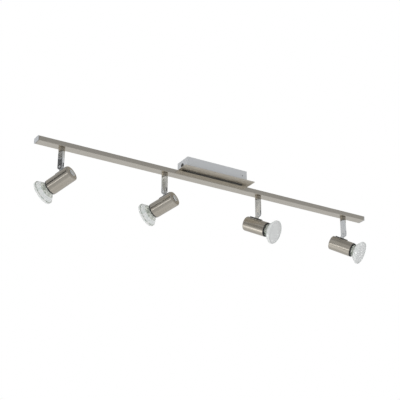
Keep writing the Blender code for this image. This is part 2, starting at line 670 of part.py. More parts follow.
def flare(start, end, wide, narrow, steps):
    """(depth, radius) points of a reflector that narrows faster and faster away from its mouth."""
    points = []
    for i in range(steps + 1):
        share = i / steps
        points.append((start + (end - start) * share, wide - (wide - narrow) * share**CUP_CURVE))
    return points


def make_lamp_lens(number, tilt):
    """The front glass, set into the reflector's rim."""
    back, face, edge = -LENS_SEAT + GAP, -EASE / 3, LENS_RADIUS - GAP
    profile = [(0.0, face), (edge - EASE, face), (edge, face - EASE), (edge, back), (0.0, back)]
    lens = turned(f"lamp_lens_{number}", profile, facets=FINE)
    turned_on_axis(lens, CLEAR_GLASS, LAMP_FACE, tilt)


def make_spot(number, x, heading, dip):
    """One spot, with its collar on the rail and the rest under its two axes."""
    make_collar(number, x)
    swivel = axis_empty(f"swivel_axis_{number}", (x, 0.0, RAIL_BOTTOM), (0.0, 0.0, radians(heading)))
    make_swivel_bolt(number, swivel)
    make_arm(number, swivel)
    make_tilt_pin(number, swivel)
    tilt = axis_empty(f"tilt_axis_{number}", (0.0, 0.0, -PIN_DROP), (0.0, radians(dip), 0.0), swivel)
    for make in (
        make_head_lug, make_saddle, make_sleeve, make_rear_button,
        make_lamp_holder, make_mouth_ring, make_lamp, make_lamp_lens,
    ):
        make(number, tilt)


make_ceiling_bracket()
make_canopy_box()
make_canopy_plate()
make_terminal_block()
make_rail()
make_rail_harness()
for side_name, sign in (("left", -1), ("right", 1)):
    make_canopy_bolt(f"canopy_bolt_{side_name}", sign)
    make_side_screw(f"bracket_screw_{side_name}", sign)
    make_end_cap(f"end_cap_{side_name}", sign)
for index, (spot_x, (aim, lean)) in enumerate(zip(spot_positions(), SPOT_AIMS), start=1):
    make_spot(index, spot_x, aim, lean)
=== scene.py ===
"""Fine meshes and finishes for a four-spot ceiling bar light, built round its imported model."""

import json
import logging
from dataclasses import dataclass
from enum import Enum
from functools import cached_property
from math import cos, pi, radians, sin, tan
from typing import Iterable, Sequence

import bmesh
import bpy
from mathutils import Matrix, Quaternion, Vector


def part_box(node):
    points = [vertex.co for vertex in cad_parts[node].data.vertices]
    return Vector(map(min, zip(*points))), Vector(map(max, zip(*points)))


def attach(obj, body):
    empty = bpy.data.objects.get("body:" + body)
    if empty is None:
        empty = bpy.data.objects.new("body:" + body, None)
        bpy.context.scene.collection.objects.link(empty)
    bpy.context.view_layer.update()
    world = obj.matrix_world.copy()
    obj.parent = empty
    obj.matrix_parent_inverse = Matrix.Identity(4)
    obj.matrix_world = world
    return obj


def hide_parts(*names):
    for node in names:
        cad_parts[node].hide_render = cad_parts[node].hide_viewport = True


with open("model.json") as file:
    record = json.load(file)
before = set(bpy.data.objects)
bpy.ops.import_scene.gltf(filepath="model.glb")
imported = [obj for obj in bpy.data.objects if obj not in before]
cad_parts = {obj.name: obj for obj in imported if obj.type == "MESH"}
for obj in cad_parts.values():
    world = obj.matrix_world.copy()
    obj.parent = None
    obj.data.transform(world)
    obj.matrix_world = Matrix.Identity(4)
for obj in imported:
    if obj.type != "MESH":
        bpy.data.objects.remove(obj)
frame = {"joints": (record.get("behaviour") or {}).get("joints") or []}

Pair = tuple[float, float]
Triple = tuple[float, float, float]
Colour = tuple[float, float, float, float]
Rings = list[list[bmesh.types.BMVert]]

LOG = logging.getLogger("bar_light")
MILLI = 0.001
GAP = 0.3 * MILLI
ROUND_FACETS = 96
SMALL_FACETS = 40
SHARP_ANGLE = radians(38.0)
EASE_ANGLE = radians(40.0)
STRAIGHT_HALF = radians(85.0)
ON_AXIS = 1e-7
NEAR = 1e-6
UP = Vector((0.0, 0.0, 1.0))
Z_TO_X = Matrix.Rotation(pi / 2, 4, "Y")
FLAT_TO_FRONT = Matrix.Rotation(pi / 2, 4, "X")
FLAT_TO_SIDE = Matrix(((0, 0, 1, 0), (1, 0, 0, 0), (0, 1, 0, 0), (0, 0, 0, 1)))
ENDS = (("left", -1), ("right", 1))
SIDES = (-1, 1)
BOLT_X = 0.040
PAST = 0.003
AXIS_DROP = 0.0265
WHITE = (1.0, 1.0, 1.0)
GLASS_IOR = 1.47


# --- finishes ---------------------------------------------------------------------------------------


class Slot(str, Enum):
    """The record's material slots."""

    NICKEL = "satin_nickel"
    CHROME = "polished_chrome"
    ZINC = "zinc_steel"
    PAINT = "silver_paint"
    DARK = "dark_steel"
    PLASTIC = "black_plastic"
    SHEATH = "black_sheath"
    CERAMIC = "white_ceramic"
    REFLECTOR = "reflector_glass"
    GLASS = "clear_glass"


class Nodes:
    """Adds and joins the nodes of one node tree."""

    def __init__(self, tree: bpy.types.NodeTree) -> None:
        """Takes the tree that the nodes go into."""
        self.tree = tree

    def feed(self, target: bpy.types.NodeSocket, value: object) -> None:
        """Links an input to a socket, or sets its value.

        Args:
            target: the input.
            value: a socket or a value.
        """
        if isinstance(value, bpy.types.NodeSocket):
            self.tree.links.new(value, target)
        else:
            target.default_value = value

    def add(self, kind: str, inputs: dict | None = None, **settings: object) -> bpy.types.Node:
        """Adds a node.

        Args:
            kind: the node's type, without its ShaderNode prefix.
            inputs: values or sockets for its inputs, by name or number.
            settings: properties set on the node itself.

        Returns:
            The new node.
        """
        node = self.tree.nodes.new("ShaderNode" + kind)
        for key, value in settings.items():
            setattr(node, key, value)
        for key, value in (inputs or {}).items():
            self.feed(node.inputs[key], value)
        return node


class Bench(Nodes):
    """Makes one material."""

    def __init__(self, name: str) -> None:
        """Starts a material with its Principled shader.

        Args:
            name: the material's name.
        """
        self.material = bpy.data.materials.new(name)
        self.material.use_nodes = True
        super().__init__(self.material.node_tree)
        self.shader = self.tree.nodes["Principled BSDF"]

    def coordinates(self, scale: Triple = (1.0, 1.0, 1.0)) -> bpy.types.NodeSocket:
        """Gives the piece's own coordinates in metres, stretched by a scale.

        Args:
            scale: multipliers along the piece's own axes.

        Returns:
            The vector socket.
        """
        place = self.add("TexCoord")
        return self.add("Mapping", {"Vector": place.outputs["Object"], "Scale": scale}).outputs["Vector"]

    def noise(self, vector: bpy.types.NodeSocket, scale: float, detail: float = 3.0) -> bpy.types.NodeSocket:
        """Gives a noise value.

        Args:
            vector: the coordinates.
            scale: cells in a metre of those coordinates.
            detail: octaves.

        Returns:
            The value socket.
        """
        made = self.add("TexNoise", {"Vector": vector, "Scale": scale, "Detail": detail, "Roughness": 0.6})
        return made.outputs["Fac"]

    def ramp(self, value: bpy.types.NodeSocket,
             stops: Sequence[tuple[float, Triple]]) -> bpy.types.NodeSocket:
        """Turns a value into a colour.

        Args:
            value: the value socket.
            stops: (place, colour) in rising order.

        Returns:
            The colour socket.
        """
        node = self.add("ValToRGB", {"Fac": value})
        band = node.color_ramp.elements
        while len(band) < len(stops):
            band.new(0.5)
        for element, (place, colour) in zip(band, stops):
            element.position = place
            element.color = (*colour, 1.0)
        return node.outputs["Color"]

    def spread(self, value: bpy.types.NodeSocket, low: float, high: float, start: float = 0.3,
               end: float = 0.7) -> bpy.types.NodeSocket:
        """Maps a value from a start..end band onto low..high.

        Args:
            value: the value socket.
            low: the result at the start of the band.
            high: the result at its end.
            start: the start of the band.
            end: the end of the band.

        Returns:
            The value socket.
        """
        inputs = {"Value": value, "From Min": start, "From Max": end, "To Min": low, "To Max": high}
        return self.add("MapRange", inputs).outputs["Result"]

    def blend(self, share: bpy.types.NodeSocket | float, first: bpy.types.NodeSocket | Sequence[float],
              second: bpy.types.NodeSocket | Sequence[float], way: str = "MIX") -> bpy.types.NodeSocket:
        """Mixes two colours.

        Args:
            share: how much of the second.
            first: the colour at a share of 0.
            second: the colour at a share of 1.
            way: the blend type.

        Returns:
            The colour socket.
        """
        inputs = {0: share, 6: first, 7: second}
        return self.add("Mix", inputs, data_type="RGBA", blend_type=way).outputs[2]

    def edges(self, low: float = 0.505, high: float = 0.56) -> bpy.types.NodeSocket:
        """Gives 1 along convex edges, where a painted highlight goes, and 0 elsewhere."""
        point = self.add("NewGeometry").outputs["Pointiness"]
        return self.spread(point, 0.0, 1.0, low, high)

    def bump(self, height: bpy.types.NodeSocket, strength: float, distance: float,
             under: bpy.types.NodeSocket | None = None) -> bpy.types.NodeSocket:
        """Makes a bumped normal.

        Args:
            height: the height socket.
            strength: how much of it shows.
            distance: its depth in metres.
            under: a normal to start from.

        Returns:
            The normal socket.
        """
        inputs: dict = {"Height": height, "Strength": strength, "Distance": distance}
        if under is not None:
            inputs["Normal"] = under
        return self.add("Bump", inputs).outputs["Normal"]

    def shade(self, **inputs: object) -> bpy.types.Material:
        """Sets or links the shader's inputs, named with underscores for spaces.

        Args:
            inputs: values or sockets.

        Returns:
            The finished material.
        """
        for key, value in inputs.items():
            self.feed(self.shader.inputs[key.replace("_", " ")], value)
        return self.material


@dataclass(frozen=True)
class Finish:
    """A finish: its name and the record's slot that it stands for."""

    name: str
    slot: Slot

    @cached_property
    def material(self) -> bpy.types.Material:
        """The finish's material, made once."""
        return self.make(Bench(self.name))

    def make(self, bench: Bench) -> bpy.types.Material:
        """Builds the nodes. Each finish has its own."""
        raise NotImplementedError


@dataclass(frozen=True)
class BrushedNickel(Finish):
    """Satin nickel with a fine grain along the piece's own X axis.

    Attributes:
        dark: colour in the grain's hollows.
        light: colour on its crests.
        rough: roughness from the smoothest to the dullest line.
        grain: cells of the fine lines in a metre, along each axis.
        bands: cells of the wider bands in a metre, along each axis.
        clouds: clouds from handling in a metre.
        worn: colour of the clouds.
        edge_highlight: colour of the painted highlight on the edges.
    """

    dark: Triple = (0.47, 0.435, 0.375)
    light: Triple = (0.66, 0.62, 0.555)
    rough: Pair = (0.14, 0.25)
    grain: Triple = (9.0, 2600.0, 2600.0)
    bands: Triple = (3.0, 420.0, 420.0)
    clouds: float = 42.0
    worn: Triple = (0.93, 0.92, 0.90)
    edge_highlight: Colour = (0.78, 0.75, 0.69, 1.0)

    def make(self, bench: Bench) -> bpy.types.Material:
        """Long fine lines over wider bands, with faint clouding from handling.

        Args:
            bench: where the nodes go.

        Returns:
            The material.
        """
        hair = bench.noise(bench.coordinates(self.grain), 1.0, 4.0)
        band = bench.noise(bench.coordinates(self.bands), 1.0, 2.0)
        cloud = bench.noise(bench.coordinates(), self.clouds, 3.0)
        lines = bench.blend(0.45, bench.spread(hair, 0.0, 1.0), bench.spread(band, 0.0, 1.0))
        metal = bench.ramp(lines, ((0.0, self.dark), (1.0, self.light)))
        worn = bench.ramp(cloud, ((0.30, self.worn), (0.70, WHITE)))
        colour = bench.blend(1.0, metal, worn, "MULTIPLY")
        # painted highlight: a lighter colour blended in along convex edges
        colour = bench.blend(bench.spread(bench.edges(), 0.0, 0.45, 0.0, 1.0), colour, self.edge_highlight)
        rough = bench.spread(lines, self.rough[1], self.rough[0], 0.0, 1.0)
        normal = bench.bump(hair, 0.10, 0.00004, bench.bump(band, 0.06, 0.00006))
        return bench.shade(Base_Color=colour, Metallic=1.0, Roughness=rough, Normal=normal)


@dataclass(frozen=True)
class PolishedChrome(Finish):
    """Bright chrome with faint polishing swirls and finger marks.

    Attributes:
        tint: the plate's own colour.
        rough: roughness where it is clean and where it is handled.
        metal: how much of it shines; the rest is a pale film on the plate.
        hazes: finger marks in a metre.
        swirls: polishing lines in a metre, along each axis.
        edge_highlight: colour of the painted highlight on the edges.
    """

    tint: Triple = (0.88, 0.925, 0.955)
    rough: Pair = (0.05, 0.10)
    metal: float = 0.92
    hazes: float = 60.0
    swirls: Triple = (700.0, 700.0, 90.0)
    edge_highlight: Colour = (0.86, 0.87, 0.88, 1.0)

    def make(self, bench: Bench) -> bpy.types.Material:
        """A mirror whose gloss wanders a little.

        Args:
            bench: where the nodes go.

        Returns:
            The material.
        """
        haze = bench.noise(bench.coordinates(), self.hazes, 2.0)
        swirl = bench.noise(bench.coordinates(self.swirls), 1.0, 3.0)
        deep = tuple(0.90 * part for part in self.tint)
        colour = bench.ramp(haze, ((0.30, deep), (0.65, self.tint)))
        # painted highlight: the edge colour blended in along convex edges
        colour = bench.blend(bench.edges(), colour, self.edge_highlight)
        rough = bench.spread(haze, self.rough[0], self.rough[1])
        normal = bench.bump(swirl, 0.005, 0.000004)
        return bench.shade(Base_Color=colour, Metallic=self.metal, Roughness=rough, Normal=normal)


@dataclass(frozen=True)
class ZincPlate(Finish):
    """Zinc-plated steel with small crystals.

    Attributes:
        crystals: crystals in a metre.
        stains: stains in a metre.
        pits: pits in a metre.
        tones: colour of the darkest and of the lightest crystal.
        aged: colour of the stains.
    """

    crystals: float = 620.0
    stains: float = 70.0
    pits: float = 2400.0
    tones: tuple[Triple, Triple] = ((0.47, 0.48, 0.49), (0.66, 0.67, 0.68))
    aged: Triple = (0.93, 0.90, 0.82)

    def make(self, bench: Bench) -> bpy.types.Material:
        """Cells of slightly different tone, yellowed and scuffed in places.

        Args:
            bench: where the nodes go.

        Returns:
            The material.
        """
        spangle = bench.add("TexVoronoi", {"Vector": bench.coordinates(), "Scale": self.crystals})
        stain = bench.noise(bench.coordinates(), self.stains, 3.0)
        tone = bench.ramp(spangle.outputs["Color"], ((0.0, self.tones[0]), (1.0, self.tones[1])))
        aged = bench.ramp(stain, ((0.35, self.aged), (0.65, WHITE)))
        colour = bench.blend(1.0, tone, aged, "MULTIPLY")
        rough = bench.spread(spangle.outputs["Distance"], 0.30, 0.46, 0.0, 1.0)
        normal = bench.bump(bench.noise(bench.coordinates(), self.pits), 0.12, 0.00003)
        return bench.shade(Base_Color=colour, Metallic=1.0, Roughness=rough, Normal=normal)


@dataclass(frozen=True)
class SilverPaint(Finish):
    """Silver-grey stove paint with metal flakes and orange peel.

    Attributes:
        tint: the paint's mean colour.
        flakes: flakes in a metre.
        peel: orange-peel dimples in a metre.
        dust: dusty spots in a metre.
        dusty: colour of the dust.
        edge_highlight: colour of the painted highlight on the edges.
    """

    tint: Triple = (0.55, 0.58, 0.61)
    flakes: float = 3800.0
    peel: float = 900.0
    dust: float = 60.0
    dusty: Colour = (0.56, 0.56, 0.54, 1.0)
    edge_highlight: Colour = (0.68, 0.69, 0.70, 1.0)

    def make(self, bench: Bench) -> bpy.types.Material:
        """Flakes under a thin clear coat, with a painted highlight lighter along the edges.

        Args:
            bench: where the nodes go.

        Returns:
            The material.
        """
        flake = bench.add("TexVoronoi", {"Vector": bench.coordinates(), "Scale": self.flakes})
        peel = bench.noise(bench.coordinates(), self.peel, 2.0)
        dust = bench.noise(bench.coordinates(), self.dust, 3.0)
        low, high = tuple(0.92 * part for part in self.tint), tuple(1.10 * part for part in self.tint)
        colour = bench.ramp(flake.outputs["Color"], ((0.0, low), (1.0, high)))
        colour = bench.blend(bench.spread(dust, 0.0, 0.10), colour, self.dusty)
        # painted highlight: a lighter colour blended in along convex edges
        colour = bench.blend(bench.spread(bench.edges(), 0.0, 0.6, 0.0, 1.0), colour, self.edge_highlight)
        rough = bench.spread(dust, 0.34, 0.46)
        normal = bench.bump(peel, 0.10, 0.00006)
        return bench.shade(
            Base_Color=colour, Metallic=0.45, Roughness=rough, Normal=normal, Coat_Weight=0.15,
            Coat_Roughness=0.2,
        )


@dataclass(frozen=True)
class DarkSteel(Finish):
    """Dark bronzed steel, mottled, with a painted highlight bright at its edges.

    Attributes:
        mottles: mottles in a metre.
        tooth: the fine tooth's cells in a metre.
        tones: colour of the darkest and of the lightest mottle.
        edge_highlight: colour of the painted highlight on the edges.
    """

    mottles: float = 240.0
    tooth: float = 2600.0
    tones: tuple[Triple, Triple] = ((0.065, 0.063, 0.060), (0.14, 0.135, 0.13))
    edge_highlight: Colour = (0.18, 0.18, 0.175, 1.0)

    def make(self, bench: Bench) -> bpy.types.Material:
        """Mottle from a soft noise, with a fine tooth.

        Args:
            bench: where the nodes go.

        Returns:
            The material.
        """
        mottle = bench.noise(bench.coordinates(), self.mottles, 4.0)
        colour = bench.ramp(mottle, ((0.30, self.tones[0]), (0.70, self.tones[1])))
        # painted highlight: a lighter colour blended in along convex edges
        colour = bench.blend(bench.edges(), colour, self.edge_highlight)
        rough = bench.spread(mottle, 0.30, 0.48)
        normal = bench.bump(bench.noise(bench.coordinates(), self.tooth), 0.15, 0.00004)
        return bench.shade(Base_Color=colour, Metallic=0.9, Roughness=rough, Normal=normal)


@dataclass(frozen=True)
class MouldedPlastic(Finish):
    """Black moulded plastic or cable sheath, with a spark-eroded grain.

    Attributes:
        grain: cells of the grain in a metre.
        rough: roughness from its polished to its matt spots.
        dust: dusty spots in a metre.
        tones: colour of the clean and of the dusty plastic.
        edge_highlight: colour of the painted highlight on the edges.
    """

    grain: float = 2200.0
    rough: Pair = (0.38, 0.55)
    dust: float = 130.0
    tones: tuple[Triple, Triple] = ((0.010, 0.010, 0.011), (0.026, 0.026, 0.027))
    edge_highlight: Colour = (0.07, 0.07, 0.07, 1.0)

    def make(self, bench: Bench) -> bpy.types.Material:
        """A fine even grain with a little dust, and a painted highlight on the edges.

        Args:
            bench: where the nodes go.

        Returns:
            The material.
        """
        tooth = bench.noise(bench.coordinates(), self.grain, 2.0)
        dust = bench.noise(bench.coordinates(), self.dust, 3.0)
        colour = bench.ramp(dust, ((0.35, self.tones[0]), (0.75, self.tones[1])))
        # painted highlight: a lighter colour blended in along convex edges
        colour = bench.blend(bench.edges(), colour, self.edge_highlight)
        rough = bench.spread(tooth, self.rough[0], self.rough[1])
        normal = bench.bump(tooth, 0.25, 0.00005)
        return bench.shade(Base_Color=colour, Roughness=rough, Normal=normal, Specular_IOR_Level=0.45)


@dataclass(frozen=True)
class GlazedCeramic(Finish):
    """Off-white glazed steatite with small specks.

    Attributes:
        specks: specks in a metre.
        warmth: warm patches in a metre.
        ripples: ripples of the glaze in a metre.
        tones: colour of the warmest and of the palest patch.
        speck: colour of a speck.
    """

    specks: float = 900.0
    warmth: float = 110.0
    ripples: float = 500.0
    tones: tuple[Triple, Triple] = ((0.74, 0.71, 0.64), (0.84, 0.82, 0.77))
    speck: Triple = (0.55, 0.50, 0.42)

    def make(self, bench: Bench) -> bpy.types.Material:
        """Specks under a clear glaze.

        Args:
            bench: where the nodes go.

        Returns:
            The material.
        """
        cells = bench.add("TexVoronoi", {"Vector": bench.coordinates(), "Scale": self.specks})
        warm = bench.noise(bench.coordinates(), self.warmth, 3.0)
        body = bench.ramp(warm, ((0.30, self.tones[0]), (0.70, self.tones[1])))
        dots = bench.ramp(cells.outputs["Distance"], ((0.04, self.speck), (0.10, WHITE)))
        colour = bench.blend(1.0, body, dots, "MULTIPLY")
        rough = bench.spread(warm, 0.28, 0.40)
        normal = bench.bump(bench.noise(bench.coordinates(), self.ripples), 0.10, 0.00008)
        return bench.shade(
            Base_Color=colour, Roughness=rough, Normal=normal, Coat_Weight=0.35, Coat_Roughness=0.12,
        )


@dataclass(frozen=True)
class CoatedGlass(Finish):
    """Pressed glass with a bright mirror coat behind it, as a reflector lamp's cup has.

    Attributes:
        silver: the colour of the coat.
        tint: the greenish tone that thick glass adds in places.
        rough: roughness from facet to facet.
        depths: changes of tone in a metre.
        ripples: pressed ripples in a metre.
        sheen: colour of the brightest spots.
        metal: how much of the coat shines like metal.
        clear: how much light passes the coat.
    """

    silver: Triple = (0.97, 0.98, 0.975)
    tint: Triple = (0.80, 0.865, 0.835)
    rough: Pair = (0.04, 0.14)
    depths: float = 210.0
    ripples: float = 300.0
    sheen: Triple = (0.975, 0.975, 0.965)
    metal: float = 0.16
    clear: float = 0.18

    def make(self, bench: Bench) -> bpy.types.Material:
        """A bright coat, with greenish depth and pressed ripples in the glass over it.

        Args:
            bench: where the nodes go.

        Returns:
            The material.
        """
        depth = bench.noise(bench.coordinates(), self.depths, 2.0)
        ripple = bench.noise(bench.coordinates(), self.ripples, 2.0)
        colour = bench.ramp(depth, ((0.33, self.tint), (0.55, self.silver), (0.80, self.sheen)))
        rough = bench.spread(ripple, self.rough[0], self.rough[1])
        return bench.shade(
            Base_Color=colour, Metallic=self.metal, Roughness=rough, Normal=bench.bump(ripple, 0.02, 0.0001),
            Transmission_Weight=self.clear, IOR=GLASS_IOR, Coat_Weight=0.6, Coat_Roughness=0.03,
        )


@dataclass(frozen=True)
class ClearGlass(Finish):
    """Clear pressed glass with faint ripples.

    Attributes:
        pale: the glass's own colour, thin and thick.
        ripples: ripples in a metre.
        rough: roughness from its smooth to its frosted spots.
        clear: how much light passes; the rest is scattered by the pressed pattern.
    """

    pale: tuple[Triple, Triple] = ((0.93, 0.955, 0.95), (0.985, 0.99, 0.99))
    ripples: float = 260.0
    rough: Pair = (0.02, 0.07)
    clear: float = 0.92

    def make(self, bench: Bench) -> bpy.types.Material:
        """Almost colourless, with its surface a little uneven.

        Args:
            bench: where the nodes go.

        Returns:
            The material.
        """
        wave = bench.noise(bench.coordinates(), self.ripples, 2.0)
        colour = bench.ramp(wave, ((0.3, self.pale[0]), (0.7, self.pale[1])))
        rough = bench.spread(wave, self.rough[0], self.rough[1])
        return bench.shade(
            Base_Color=colour, Roughness=rough, Normal=bench.bump(wave, 0.12, 0.0002),
            Transmission_Weight=self.clear, IOR=GLASS_IOR,
        )


NICKEL = BrushedNickel("brushed_nickel", Slot.NICKEL)
# lighter copy of the brushed nickel for the tray: painted light; it is also rougher
LIT_NICKEL = BrushedNickel(
    "brushed_nickel_painted_light", Slot.NICKEL,
    dark=(0.66, 0.62, 0.55), light=(0.88, 0.84, 0.76), rough=(0.30, 0.45),
)
# darker copy of the brushed nickel for the collar under the rail: painted shade
SHADED_NICKEL = BrushedNickel(
    "brushed_nickel_painted_shade", Slot.NICKEL,
    dark=(0.26, 0.235, 0.19), light=(0.56, 0.51, 0.43), rough=(0.08, 0.18),
)
CHROME = PolishedChrome("polished_chrome_plate", Slot.CHROME)
BUTTON = PolishedChrome("dulled_chrome_plate", Slot.CHROME, tint=(0.84, 0.88, 0.90), rough=(0.12, 0.24))
ZINC = ZincPlate("zinc_plate", Slot.ZINC)
PAINT = SilverPaint("silver_stove_paint", Slot.PAINT)
DARK = DarkSteel("bronzed_dark_steel", Slot.DARK)
PLASTIC = MouldedPlastic("black_moulded_plastic", Slot.PLASTIC)
SHEATH = MouldedPlastic("black_wire_sheath", Slot.SHEATH, grain=900.0, rough=(0.45, 0.65))
CERAMIC = GlazedCeramic("glazed_steatite", Slot.CERAMIC)
COATED = CoatedGlass("coated_cup_glass", Slot.REFLECTOR)
# darker copy of the coated glass for the cup's throat and shoulder: painted shade
SHADED_GLASS = CoatedGlass(
    "coated_glass_painted_shade", Slot.REFLECTOR,
    silver=(0.80, 0.83, 0.76), tint=(0.16, 0.20, 0.15), rough=(0.04, 0.12),
)
MIRROR = CoatedGlass(
    "faceted_mirror", Slot.REFLECTOR,
    silver=(0.93, 0.93, 0.92), tint=(0.78, 0.80, 0.80), rough=(0.05, 0.10),
)
GLASS = ClearGlass("clear_capsule_glass", Slot.GLASS)
FRONT = ClearGlass("pressed_front_glass", Slot.GLASS, rough=(0.10, 0.22), clear=0.40)


# --- mesh makers ------------------------------------------------------------------------------------


def stand(name: str, data: bpy.types.ID) -> bpy.types.Object:
    """Stands some data in the scene as an object.

    Args:
        name: the object's name.
        data: its mesh, light, curve or camera.

    Returns:
        The new object.
    """
    obj = bpy.data.objects.new(name, data)
    bpy.context.scene.collection.objects.link(obj)
    return obj


def piece_from(name: str, bm: bmesh.types.BMesh, angle: float = SHARP_ANGLE) -> bpy.types.Object:
    """Makes an object of a bmesh, with smooth rounds and sharp edges.

    Args:
        name: the piece's name.
        bm: its shape, which is used up.
        angle: edges sharper than this stay sharp.

    Returns:
        The new object.
    """
    bmesh.ops.recalc_face_normals(bm, faces=bm.faces)
    mesh = bpy.data.meshes.new(name)
    bm.to_mesh(mesh)
    bm.free()
    mesh.shade_smooth()
    mesh.set_sharp_from_angle(angle=angle)
    return stand(name, mesh)


def modify(obj: bpy.types.Object, kind: str, **settings: object) -> None:
    """Adds a modifier to an object.

    Args:
        obj: the object.
        kind: the modifier's type.
        settings: its properties.
    """
    step = obj.modifiers.new(kind.lower(), kind)
    for key, value in settings.items():
        setattr(step, key, value)


def settle(obj: bpy.types.Object) -> bpy.types.Object:
    """Applies an object's modifiers to its mesh.

    Args:
        obj: the object.

    Returns:
        The object.
    """
    bpy.context.view_layer.update()
    graph = bpy.context.evaluated_depsgraph_get()
    mesh = bpy.data.meshes.new_from_object(obj.evaluated_get(graph))
    old = obj.data
    obj.modifiers.clear()
    obj.data = mesh
    bpy.data.meshes.remove(old)
    return obj


def carve(obj: bpy.types.Object, tools: Iterable[bpy.types.Object],
          way: str = "DIFFERENCE") -> bpy.types.Object:
    """Cuts, joins or trims an object with tools, which are used up.

    Args:
        obj: the object.
        tools: the shapes that cut or join it.
        way: the Boolean operation.

    Returns:
        The object.
    """
    tools = list(tools)
    for tool in tools:
        modify(obj, "BOOLEAN", operation=way, solver="EXACT", object=tool)
    settle(obj)
    for tool in tools:
        bpy.data.objects.remove(tool, do_unlink=True)
    obj.data.shade_smooth()
    obj.data.set_sharp_from_angle(angle=SHARP_ANGLE)
    return obj


def ease(obj: bpy.types.Object, width: float, segments: int = 3) -> bpy.types.Object:
    """Rounds an object's sharp edges.

    Args:
        obj: the object.
        width: how far the rounding reaches, in metres.
        segments: its facets.

    Returns:
        The object.
    """
    modify(obj, "BEVEL", width=width, segments=segments, limit_method="ANGLE", angle_limit=EASE_ANGLE)
    return settle(obj)


def true_flats(obj: bpy.types.Object) -> bpy.types.Object:
    """Weights an object's normals by face area, so that flats shade flat up to their rounded edges."""
    modify(obj, "WEIGHTED_NORMAL", keep_sharp=True)
    return settle(obj)


def arc(centre: Pair, radius: float, start: float, end: float, steps: int) -> list[Pair]:
    """Gives points on an arc, both ends included, with angles in radians."""
    angles = [start + (end - start) * i / steps for i in range(steps + 1)]
    return [(centre[0] + radius * cos(a), centre[1] + radius * sin(a)) for a in angles]


def filleted(points: Sequence[Pair], radii: float | Sequence[float], steps: int = 4,
             closed: bool = True) -> list[Pair]:
    """Rounds the corners of a line of points.

    Args:
        points: the corners in order.
        radii: one radius for all corners, or one for each.
        steps: facets in each round.
        closed: False leaves the first and the last point as they are.

    Returns:
        The rounded line.
    """
    count = len(points)
    sizes = [radii] * count if isinstance(radii, float) else list(radii)
    made: list[Pair] = []
    for i, (corner, size) in enumerate(zip(points, sizes)):
        if size <= 0.0 or (not closed and i in (0, count - 1)):
            made.append(corner)
            continue
        here = Vector(corner)
        back = (Vector(points[i - 1]) - here).normalized()
        ahead = (Vector(points[(i + 1) % count]) - here).normalized()
        half = back.angle(ahead, pi) / 2
        if half > STRAIGHT_HALF:
            made.append(corner)
            continue
        reach = size / tan(half)
        first, last = here + back * reach, here + ahead * reach
        for j in range(steps + 1):
            t = j / steps
            made.append(tuple((1 - t) ** 2 * first + 2 * t * (1 - t) * here + t * t * last))
    return made


def rings_of(bm: bmesh.types.BMesh, profile: Sequence[Pair], facets: int) -> Rings:
    """Sets out a ring of points for each step of a profile, or one point where it meets the axis.

    Args:
        bm: where the points go.
        profile: (radius, height) points.
        facets: points in a ring.

    Returns:
        The rings.
    """
    turn = [2 * pi * i / facets for i in range(facets)]
    rings: Rings = []
    for radius, height in profile:
        spots = [(0.0, 0.0)] if radius < ON_AXIS else [(radius * cos(a), radius * sin(a)) for a in turn]
        rings.append([bm.verts.new((x, y, height)) for x, y in spots])
    return rings


def span(bm: bmesh.types.BMesh, first: list[bmesh.types.BMVert], second: list[bmesh.types.BMVert],
         facets: int) -> list[bmesh.types.BMFace]:
    """Closes the band between two rings, either of which may be a single point.

    Args:
        bm: where the faces go.
        first: one ring.
        second: the next ring.
        facets: points in a full ring.

    Returns:
        The band's faces.
    """
    faces = []
    for i in range(facets):
        j = (i + 1) % facets
        near = (first[i % len(first)], first[j % len(first)])
        far = (second[j % len(second)], second[i % len(second)])
        unique = list(dict.fromkeys(near + far))
        if len(unique) > 2:
            faces.append(bm.faces.new(unique))
    return faces


def turned(name: str, profile: Sequence[Pair], facets: int = ROUND_FACETS, closed: bool = False,
           matrix: Matrix | None = None) -> bpy.types.Object:
    """Turns a profile about Z.

    Args:
        name: the piece's name.
        profile: (radius, height) points.
        facets: facets round the axis.
        closed: True for a ring, whose profile closes on itself.
        matrix: where it goes.

    Returns:
        The new object.
    """
    bm = bmesh.new()
    rings = rings_of(bm, profile, facets)
    for first, second in zip(rings, rings[1:] + rings[:1] if closed else rings[1:]):
        span(bm, first, second, facets)
    if matrix is not None:
        bm.transform(matrix)
    return piece_from(name, bm)


def prism(name: str, outline: Sequence[Pair], thickness: float,
          matrix: Matrix | None = None) -> bpy.types.Object:
    """Extrudes an outline in the XY plane, half its thickness each way.

    Args:
        name: the piece's name.
        outline: the corners in order.
        thickness: along Z.
        matrix: where it goes.

    Returns:
        The new object.
    """
    bm = bmesh.new()
    low = [bm.verts.new((x, y, -thickness / 2)) for x, y in outline]
    high = [bm.verts.new((x, y, thickness / 2)) for x, y in outline]
    bm.faces.new(low[::-1])
    bm.faces.new(high)
    for i in range(len(outline)):
        j = (i + 1) % len(outline)
        bm.faces.new((low[i], low[j], high[j], high[i]))
    if matrix is not None:
        bm.transform(matrix)
    return piece_from(name, bm)


def slab(name: str, low: Sequence[float], high: Sequence[float], corner: float = 0.0,
         segments: int = 3) -> bpy.types.Object:
    """Makes a block between two corners, with all its edges rounded.

    Args:
        name: the piece's name.
        low: the lowest corner.
        high: the highest corner.
        corner: the rounding of its edges.
        segments: facets in each round.

    Returns:
        The new object.
    """
    size = Vector(high) - Vector(low)
    bm = bmesh.new()
    bmesh.ops.create_cube(bm, size=1.0)
    bmesh.ops.scale(bm, vec=size, verts=bm.verts)
    bmesh.ops.translate(bm, vec=Vector(low) + size / 2, verts=bm.verts)
    if corner > 0.0:
        bmesh.ops.bevel(bm, geom=bm.edges[:], offset=corner, segments=segments, profile=0.5, affect="EDGES")
    return piece_from(name, bm)


